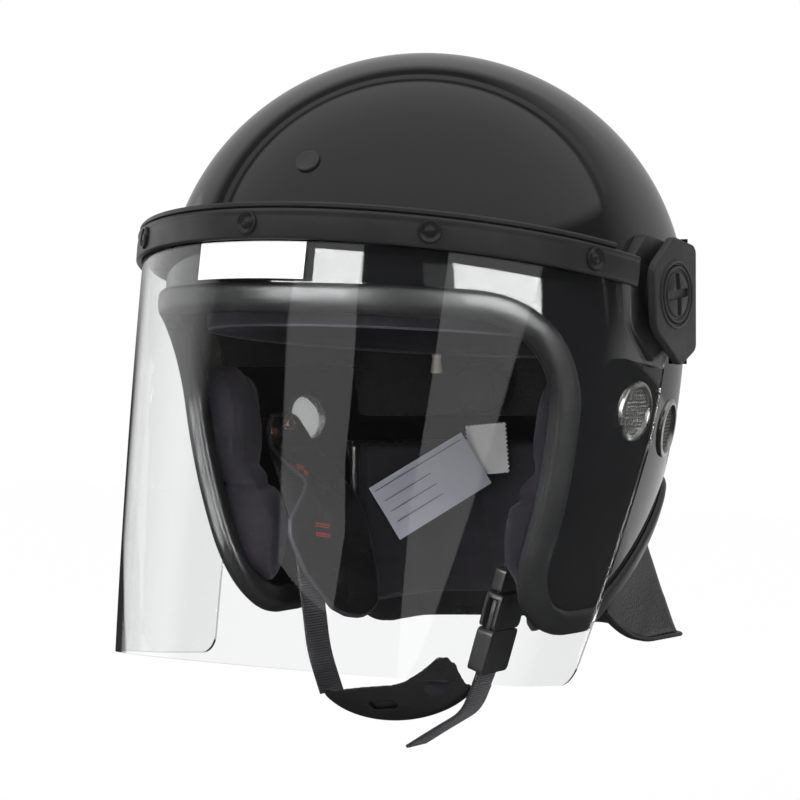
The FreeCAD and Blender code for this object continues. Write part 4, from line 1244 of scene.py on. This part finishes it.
def crisp_copy(source, name, width, segments):
    """A hard CAD solid with its edges broken."""
    obj = copy_of(source, name)
    work = bmesh.new()
    work.from_mesh(obj.data)
    bmesh.ops.remove_doubles(work, verts=work.verts, dist=1e-6)
    bmesh.ops.dissolve_limit(work, angle_limit=math.radians(1.0), verts=work.verts, edges=work.edges)
    work.to_mesh(obj.data)
    work.free()
    return bevel(obj, width, segments, 35.0)


def crease(obj, depth, reach, distance):
    """Press a sewn channel into a pad where distance(point) is near zero."""
    normals = [vertex.normal.copy() for vertex in obj.data.vertices]
    for vertex, normal in zip(obj.data.vertices, normals):
        away = distance(vertex.co / MM)
        if abs(away) < 3 * reach:
            vertex.co -= normal * (depth * math.exp(-(away / reach) ** 2)) * MM


def make_liner():
    liner = soft_copy("impact_liner", "foam_liner", 2.5, 2, finer=False)
    finish(liner, "liner_foam", "impact_liner", sharp=50.0)


def band_point(turn, low_share, offset):
    """Point on the headband's outer or inner face: turn round the head, share of its height."""
    y = widest_y + (shell_half_length + offset) * 0.93 * math.cos(turn)
    for _ in range(6):
        back_share = (y + shell_half_length) / (2 * shell_half_length)
        z = band_front_z + back_share * (band_rear_z - band_front_z) + band_height * low_share
        flat = math.sqrt(max(1 - shell_share(0, widest_y, z, offset), 0.0))
        y = widest_y + (shell_half_length + offset) * flat * math.cos(turn)
    return Vector(((shell_half_width + offset) * flat * math.sin(turn), y, z))


def make_headband():
    """Padded band round the head, sewn into panels, with a piped lower edge."""
    turns = [math.radians(2 * k) for k in range(180)]
    levels = 14
    points = []
    for turn in turns:
        half = band_panel_angle / 2
        seam = abs((math.degrees(turn) + half) % band_panel_angle - half) * 2.0
        full = 1 - 0.55 * math.exp(-(seam / 2.2) ** 2)
        for k in range(levels + 1):
            points.append(band_point(turn, k / levels, head_offset))
        for k in range(levels, -1, -1):
            share = k / levels
            crown = math.sqrt(1 - abs(2 * share - 1) ** 3)
            depth = 1.2 + (band_thickness - 0.9) * crown * (0.78 + 0.22 * full)
            points.append(band_point(turn, share, head_offset - depth))
    band = skin("sweat_band", points, 2 * levels + 2, closed=True)
    finish(band, "brushed_fabric", "headband", sharp=80.0, fill=0.6)
    line = [band_point(turn, 0.0, head_offset - 1.2) - Vector((0, 0, 0.2)) for turn in turns]
    finish(tube("band_piping", line, 0.9, True), "piping", sharp=60.0, slot="brushed_fabric")


def make_crown_pad():
    def spoke(p):
        turn = math.degrees(math.atan2(p.y, p.x)) % 60 - 30
        return math.radians(turn) * math.hypot(p.x, p.y)

    crown = soft_copy("crown_pad", "crown_cushion", 3.0, 4)
    crease(crown, 2.2, 2.5, spoke)
    finish(crown, "brushed_fabric", "crown_pad", sharp=80.0, fill=0.5)


def make_cheek_pads():
    """Two full lobes with a sewn crease between them."""
    cheek = soft_copy("cheek_pad_left", "cheek_cushion", 2.4, 7, 0.9)
    crease(cheek, 3.0, 3.2, lambda p: p.z + 99.0 - 0.12 * (p.y + 40))
    on_both_sides(cheek, "brushed_fabric", "cheek_pad", sharp=80.0, fill=0.7)


def make_rear_pads():
    """Crowned foam pads with a moulded step round their rims."""
    pads = soft_copy("rear_foam_pads", "nape_foam", 1.6, 5, 0.4)
    crease(pads, 0.9, 0.9, lambda p: math.hypot((abs(p.x) - 41.0) / 15.0, (p.z + 51.0) / 11.5) * 13 - 13)
    finish(pads, "speckled_foam", "rear_foam_pads", sharp=80.0, fill=0.8)


# Ear panels, made on the wearer's left

def level_at(stops, z):
    """Value along (z, value) stops that go down from the first."""
    for (z0, a), (z1, b) in zip(stops, stops[1:]):
        if z > z1:
            return a + (b - a) * held((z0 - z) / (z0 - z1))
    return stops[-1][1]


def panel_x(y, z):
    """Depth of the ear panel at y and z: its front wing lies further in, over the anchor strap."""
    main = level_at(panel_main, z)
    share = held((6.0 - y) / 22.0)
    return main + (level_at(panel_wing, z) - main) * share * share * (3 - 2 * share)


def panel_place(row, column, front_stops):
    z = panel_top - (panel_top - panel_foot) * (1 - (1 - row) ** 1.5)
    front = level_at(front_stops, z)
    y = front + (level_at(panel_rear, z) - front) * column
    return Vector((panel_x(y, z), y, z))


def make_flap(name, front_stops):
    """Smooth panel that hangs from the strap stud over the anchor strap, and its bound edge."""
    rows, across = 61, 23
    middle = []
    for i in range(rows):
        middle.append([panel_place(i / (rows - 1), j / (across - 1), front_stops) for j in range(across)])
    front = []
    back = []
    for i in range(rows):
        for j in range(across):
            down = middle[min(i + 1, rows - 1)][j] - middle[max(i - 1, 0)][j]
            over = middle[i][min(j + 1, across - 1)] - middle[i][max(j - 1, 0)]
            half = down.cross(over).normalized() * (panel_thickness / 2)
            front.append(middle[i][j] - half)
            back.append(middle[i][j] + half)
    flap = thin_sheet(name, front, back, across)
    cut(flap, rod(*seat_on_side(*strap_stud_place), 2.55, -40, 20, 24))
    edge = [middle[k // across][k % across] for k in rim_of(rows, across)]
    line = resample(edge + edge[:1], 220)[:-1]
    return flap, tube(name + "_binding", line, panel_thickness / 2 + 0.15, True)


def make_flaps():
    """The far panel has a longer front wing than the near one, which ends above the buckle."""
    near = make_flap("ear_panel", panel_front_near)
    names = ("ear_panel_far", "ear_panel_far_binding")
    distant = [moved_across(piece, name) for piece, name in zip(make_flap("panel", panel_front_far), names)]
    for side, (flap, binding) in (("left", near), ("right", distant)):
        finish(flap, "smooth_vinyl", "ear_flap_" + side, sharp=60.0)
        finish(binding, "piping", slot="smooth_vinyl")


def make_bar_tacks():
    """Red tacks on the far ear panel: rows of short raised stitches, two to a place."""
    made = []
    lift = Vector((-0.35, 0, 0))
    sink = Vector((0.15, 0, 0))
    for y, z in tack_places:
        ends = []
        for side in (-1, 1):
            end_y = y + side * tack_half
            ends.append(Vector((panel_x(end_y, z) - panel_thickness, end_y, z - side)))
        for step in (0.0, 1.3):
            start, end = (p + Vector((0, 0, step)) for p in ends)
            for k in range(tack_stitches):
                a = start.lerp(end, (k + 0.12) / tack_stitches)
                b = start.lerp(end, (k + 0.88) / tack_stitches)
                line = [a + sink, a.lerp(b, 0.25) + lift, a.lerp(b, 0.75) + lift, b + sink]
                made.append(tube("stitch", line, 0.5, sides=6))
    tacks = moved_across(join("tacks", made), "bar_tacks_far")
    finish(tacks, "red_thread", slot="smooth_vinyl")


# Chin strap

def strap_path(points):
    """Frames along a polyline with rounded corners; points are (x, y, z, radius)."""
    line = []
    for i, (x, y, z, radius) in enumerate(points):
        here = Vector((x, y, z))
        if radius == 0 or i in (0, len(points) - 1):
            line.append(here)
            continue
        a = here + (Vector(points[i - 1][:3]) - here).normalized() * radius
        b = here + (Vector(points[i + 1][:3]) - here).normalized() * radius
        for k in range(9):
            t = k / 8
            line.append(a * (1 - t) ** 2 + here * 2 * t * (1 - t) + b * t ** 2)
    line = resample(line, max(4, int(length_of(line) / 1.2)))
    wide = Vector((0, 1, 0))
    return [(p, along.cross(wide).normalized(), wide) for p, along in zip(line, directions(line))]


def webbing(name, points, width=webbing_width):
    half = webbing_thickness / 2
    return sweep(name, strap_path(points), rounded(box_corners(half, width / 2, half * 0.9), 30.0, True))


def make_anchor_straps():
    y, z = strap_stud_place
    stud_x = wall_x(y, z, -shell_wall) - 2.6
    exit_x = strap_exit_x + webbing_thickness + 0.4
    points = [
        (stud_x + 0.8, y, z + 6, 0), (stud_x - 2.2, y, z - 7, 5), (exit_x + 1.5, strap_y, -115.0, 4),
        (exit_x, strap_y, -117.0, 1), (exit_x, strap_y, strap_open_z, 0)]
    on_both_sides(webbing("anchor_webbing", points), "webbing", "anchor_strap", sharp=60.0)


def buckle_point(up):
    """X and z of a point on the buckle's line, up from its middle."""
    turn = math.radians(buckle_lean)
    return buckle_x + up * math.sin(turn), buckle_z + up * math.cos(turn)


def make_straps():
    """Near webbing to the buckle, far webbing to the cup, and the webbing from the buckle to the cup."""
    near = [(strap_exit_x, strap_top_z, 0), (strap_exit_x, strap_open_z, 4), (*buckle_point(16.4), 0)]
    distant = [
        (-strap_exit_x, strap_top_z, 0), (-strap_exit_x, strap_open_z, 5), (*far_strap_bend, 9),
        (*far_strap_end, 0)]
    radii = (0, 3, 7, 6, 0)
    tail_line = (buckle_point(-18.6), buckle_point(-26.0), *tail_points)
    tail = [(*point, radius) for point, radius in zip(tail_line, radii)]
    for name, points, width, body, stands_for in (
            ("near_webbing", near, webbing_width, "strap_near", "strap_left"),
            ("far_webbing", distant, webbing_width, "chin_strap", "strap_right"),
            ("tail_webbing", tail, webbing_width - 1, "chin_strap", "strap_tail")):
        strap = webbing(name, [(x, strap_y, z, radius) for x, z, radius in points], width)
        finish(strap, "webbing", stands_for, body=body, sharp=60.0)


def make_buckle():
    for source, name, body, width in (
            ("buckle_upper", "clip_upper", "strap_near", 0.7),
            ("buckle_lower", "clip_lower", "chin_strap", 0.6),
            ("buckle_prong_front", "clip_arm_front", "prong_front", 0.5),
            ("buckle_prong_rear", "clip_arm_rear", "prong_rear", 0.5),
            ("strap_slider", "webbing_slide", "strap_near", 0.6)):
        finish(crisp_copy(source, name, width, 3), "black_plastic", source, body=body)


def make_cup():
    """Leather-look chin cup with raised front lobes and its fabric lining."""
    cup = soft_copy("chin_cup", "chin_rest", 0.9, 3, finer=False)
    for vertex in cup.data.vertices:
        x, y, z = vertex.co / MM
        front = held((-33.0 - y) / 7.0)
        high = held((z + 214.0) / 14.0)
        left_lobe = held((x - 8.0) / 24.0)
        right_tip = held((-22.0 - x) / 20.0)
        vertex.co.z += front * high * (13.0 * left_lobe ** 2 + 6.0 * right_tip ** 2) * MM
    finish(cup, "cup_leather", "chin_cup", body="chin_strap", sharp=70.0)
    lining = soft_copy("chin_cup_pad", "chin_lining", 1.1, 4, finer=False)
    finish(lining, "brushed_fabric", "chin_cup_pad", body="chin_strap", sharp=80.0, fill=0.4)


# Card, tag and cord lock

def card_frame(centre, along, down):
    """A card's middle, its directions along and down, and the direction out of its face."""
    u = Vector(along).normalized()
    n = u.cross(Vector(down)).normalized()
    return Vector(centre), u, n.cross(u), n


def on_card(place, size, bow, s, t, lift):
    """Point over a slightly bowed card, at shares s and t of its size from the middle."""
    centre, u, v, n = place
    wave = bow * (4 * s * s - 1) + 0.25 * bow * math.sin(9 * t + 3 * s)
    return centre + u * (s * size[0]) + v * (t * size[1]) + n * (lift + wave)


def bent_card(name, place, size, thickness, bow):
    rows, across = 25, 13
    layers = []
    for lift in (0.0, thickness):
        layer = []
        for i in range(rows):
            s = i / (rows - 1) - 0.5
            layer += [on_card(place, size, bow, s, j / (across - 1) - 0.5, lift) for j in range(across)]
        layers.append(layer)
    return thin_sheet(name, *layers, across)


def make_card():
    """Cloth label, left blank but for its ruled lines."""
    place = card_frame((-46.0, 71.5, -103.5), (30, 51, 31), (16, 9, -27))
    finish(bent_card("care_card", place, card_size, 0.5, card_bow), "pale_label", "label_card")
    rules = []
    lines = ((-0.40, -0.47, 0.45), (-0.18, -0.44, 0.05), (0.02, -0.44, 0.05), (0.22, -0.44, 0.05))
    for lift in (0.75, -0.25):
        for t, start, end in lines:
            along = [start + (end - start) * k / 12 for k in range(13)]
            line = [on_card(place, card_size, card_bow, s, t, lift) for s in along]
            rules.append(tube("rule", line, 0.16, sides=5))
    finish(join("card_rules", rules), "dark_thread", slot="pale_label")


def make_tag():
    """White size tag, left blank, with an overlocked dark edge."""
    place = card_frame((-28.0, 101.6, -84.0), (1, 0.25, 0.1), (0.1, 0, -1))
    centre, u, v, n = place
    finish(bent_card("cloth_tag", place, tag_size, 1.0, 0.3), "white_felt", "size_tag")
    profile = [(0.02, -0.8), (0.6, -0.5), (0.85, 0), (0.6, 0.5), (0.02, 0.8)]
    corners = box_corners(tag_size[0] / 2, tag_size[1] / 2, 0)
    beads = []
    for start, end in zip(corners, corners[1:] + corners[:1]):
        count = int(math.dist(start, end) / 2.2)
        for k in range(count):
            s = start[0] + (end[0] - start[0]) * k / count
            t = start[1] + (end[1] - start[1]) * k / count
            beads.append(lathe("bead", profile, centre + u * s + v * t + n * 0.4, n, 10))
    finish(join("tag_edging", beads), "dark_thread", slot="white_felt")


def make_toggle():
    low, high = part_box("cord_lock")
    centre = (low + high) / 2 / MM
    top = high.z / MM - centre.z
    profile = [
        (0.02, top), (2.0, top), (2.7, top - 0.5), (2.7, top - 2.0), (2.3, top - 2.6), (2.6, top - 4.0),
        (3.4, -top + 1.2), (3.3, -top + 0.3), (2.8, -top), (0.02, -top)]
    finish(lathe("cord_toggle", profile, centre, (0, 0, 1), 32), "cream_plastic", "cord_lock")


# Neck guard

def hem_line():
    """Line of the neck guard's bottom edge: its side, its corner, its rear arc and back."""
    z = guard_bottom_z + 1.2
    inset = -0.4
    inside = -shell_wall - trim_thickness - curtain_gap - inset
    below = trim_lip + curtain_gap
    share = (guard_side_y - lobe_corner[0]) / (nape_corner[0] - lobe_corner[0])
    side_level = cheek_corner[1] + share * (nape_corner[1] - cheek_corner[1])
    rear_level = nape_corner[1] - below
    side_x = wall_x(guard_side_y, side_level - below, inside) - side_turn_in * guard_flare
    corner_x = wall_x(guard_corner_y, rear_level, inside) + corner_turn_out * guard_flare
    corner_y = guard_corner_y + corner_sweep * guard_flare - inset / 3
    rear_y = wall_y(0, rear_level, inside, rear=True) + guard_flare
    sag = rear_y - corner_y
    radius = (corner_x ** 2 + sag ** 2) / (2 * sag)
    half = math.asin(corner_x / radius)
    line = [Vector((side_x, guard_side_y, z))]
    count = 120
    for k in range(count + 1):
        turn = half - 2 * half * k / count
        line.append(Vector((radius * math.sin(turn), rear_y - radius + radius * math.cos(turn), z)))
    line.append(Vector((-side_x, guard_side_y, z)))
    return line


def guard_lift(p):
    """Let the guard spread and drop toward its bottom, with its front lower corners raised in a curve."""
    forward = held((84.0 - p.y) / 42.0)
    low = held((-118.0 - p.z) / 58.0) ** 2
    out = Vector((p.x, p.y - 20.0, 0)).normalized() * (5.0 * low * (1 - 0.5 * forward))
    return Vector((p.x, p.y, p.z + (19.0 * forward * forward - 6.0) * low)) + out


def make_neck_guard():
    """Leather-look neck guard with a piped bottom edge, its rail and the padded lining."""
    guard = soft_copy("neck_guard", "neck_curtain", 1.8, 8)
    for vertex in guard.data.vertices:
        vertex.co = guard_lift(vertex.co / MM) * MM
    finish(guard, "guard_leather", "neck_guard", sharp=80.0, fill=0.4)
    line = [guard_lift(p) for p in resample(hem_line(), 240)]
    finish(tube("curtain_piping", line, 1.2, sides=10), "guard_leather")
    lining = soft_copy("nape_pad", "nape_cushion", 2.2, 5, 0.4)
    crease(lining, 1.6, 2.0, lambda p: abs(abs(p.x) - 34.0) if p.y > 40 else 99.0)
    finish(lining, "brushed_fabric", "nape_pad", sharp=80.0, fill=0.6)
    rail = crisp_copy("neck_guard_rail", "curtain_rail", 0.5, 2)
    finish(rail, "black_plastic", "neck_guard_rail")


make_camera()
make_world()
make_floor()
glow_card("soft_card_front", front_card, card_distance, soft_card_level, soft_card_level)
glow_card("soft_card_side", side_card, card_distance, soft_card_level, soft_card_level)
glow_card("inner_card_front", front_inner_card, inner_card_distance, 0.0, inner_card_level)
glow_card("inner_card_side", side_inner_card, inner_card_distance, 0.0, inner_card_level)
area_light("key", (-700, -1500, 1100), (0, 0, 0), 0.9, 1.2, 22.0)
area_light("fill", (1500, -500, 300), (0, 0, -50), 0.8, 1.4, 10.0)

for make in (
        make_shell, make_trim, make_visor, make_strip, make_seal, make_screws, make_housing,
        make_housing_base, make_knob, make_grilles, make_studs, make_plug, make_liner, make_headband,
        make_crown_pad, make_cheek_pads, make_rear_pads, make_flaps, make_bar_tacks, make_anchor_straps,
        make_straps, make_buckle, make_cup, make_card, make_tag, make_toggle, make_neck_guard):
    make()

give("white_vinyl", "front_badge")
give("black_metal", "shield_nuts")
for side in ("left", "right"):
    give("black_metal", "pivot_bush_" + side, "pivot_stud_" + side, "pivot_inner_plate_" + side)
    give("black_plastic", "pivot_washer_" + side)

bpy.context.scene.view_settings.view_transform = "Standard"
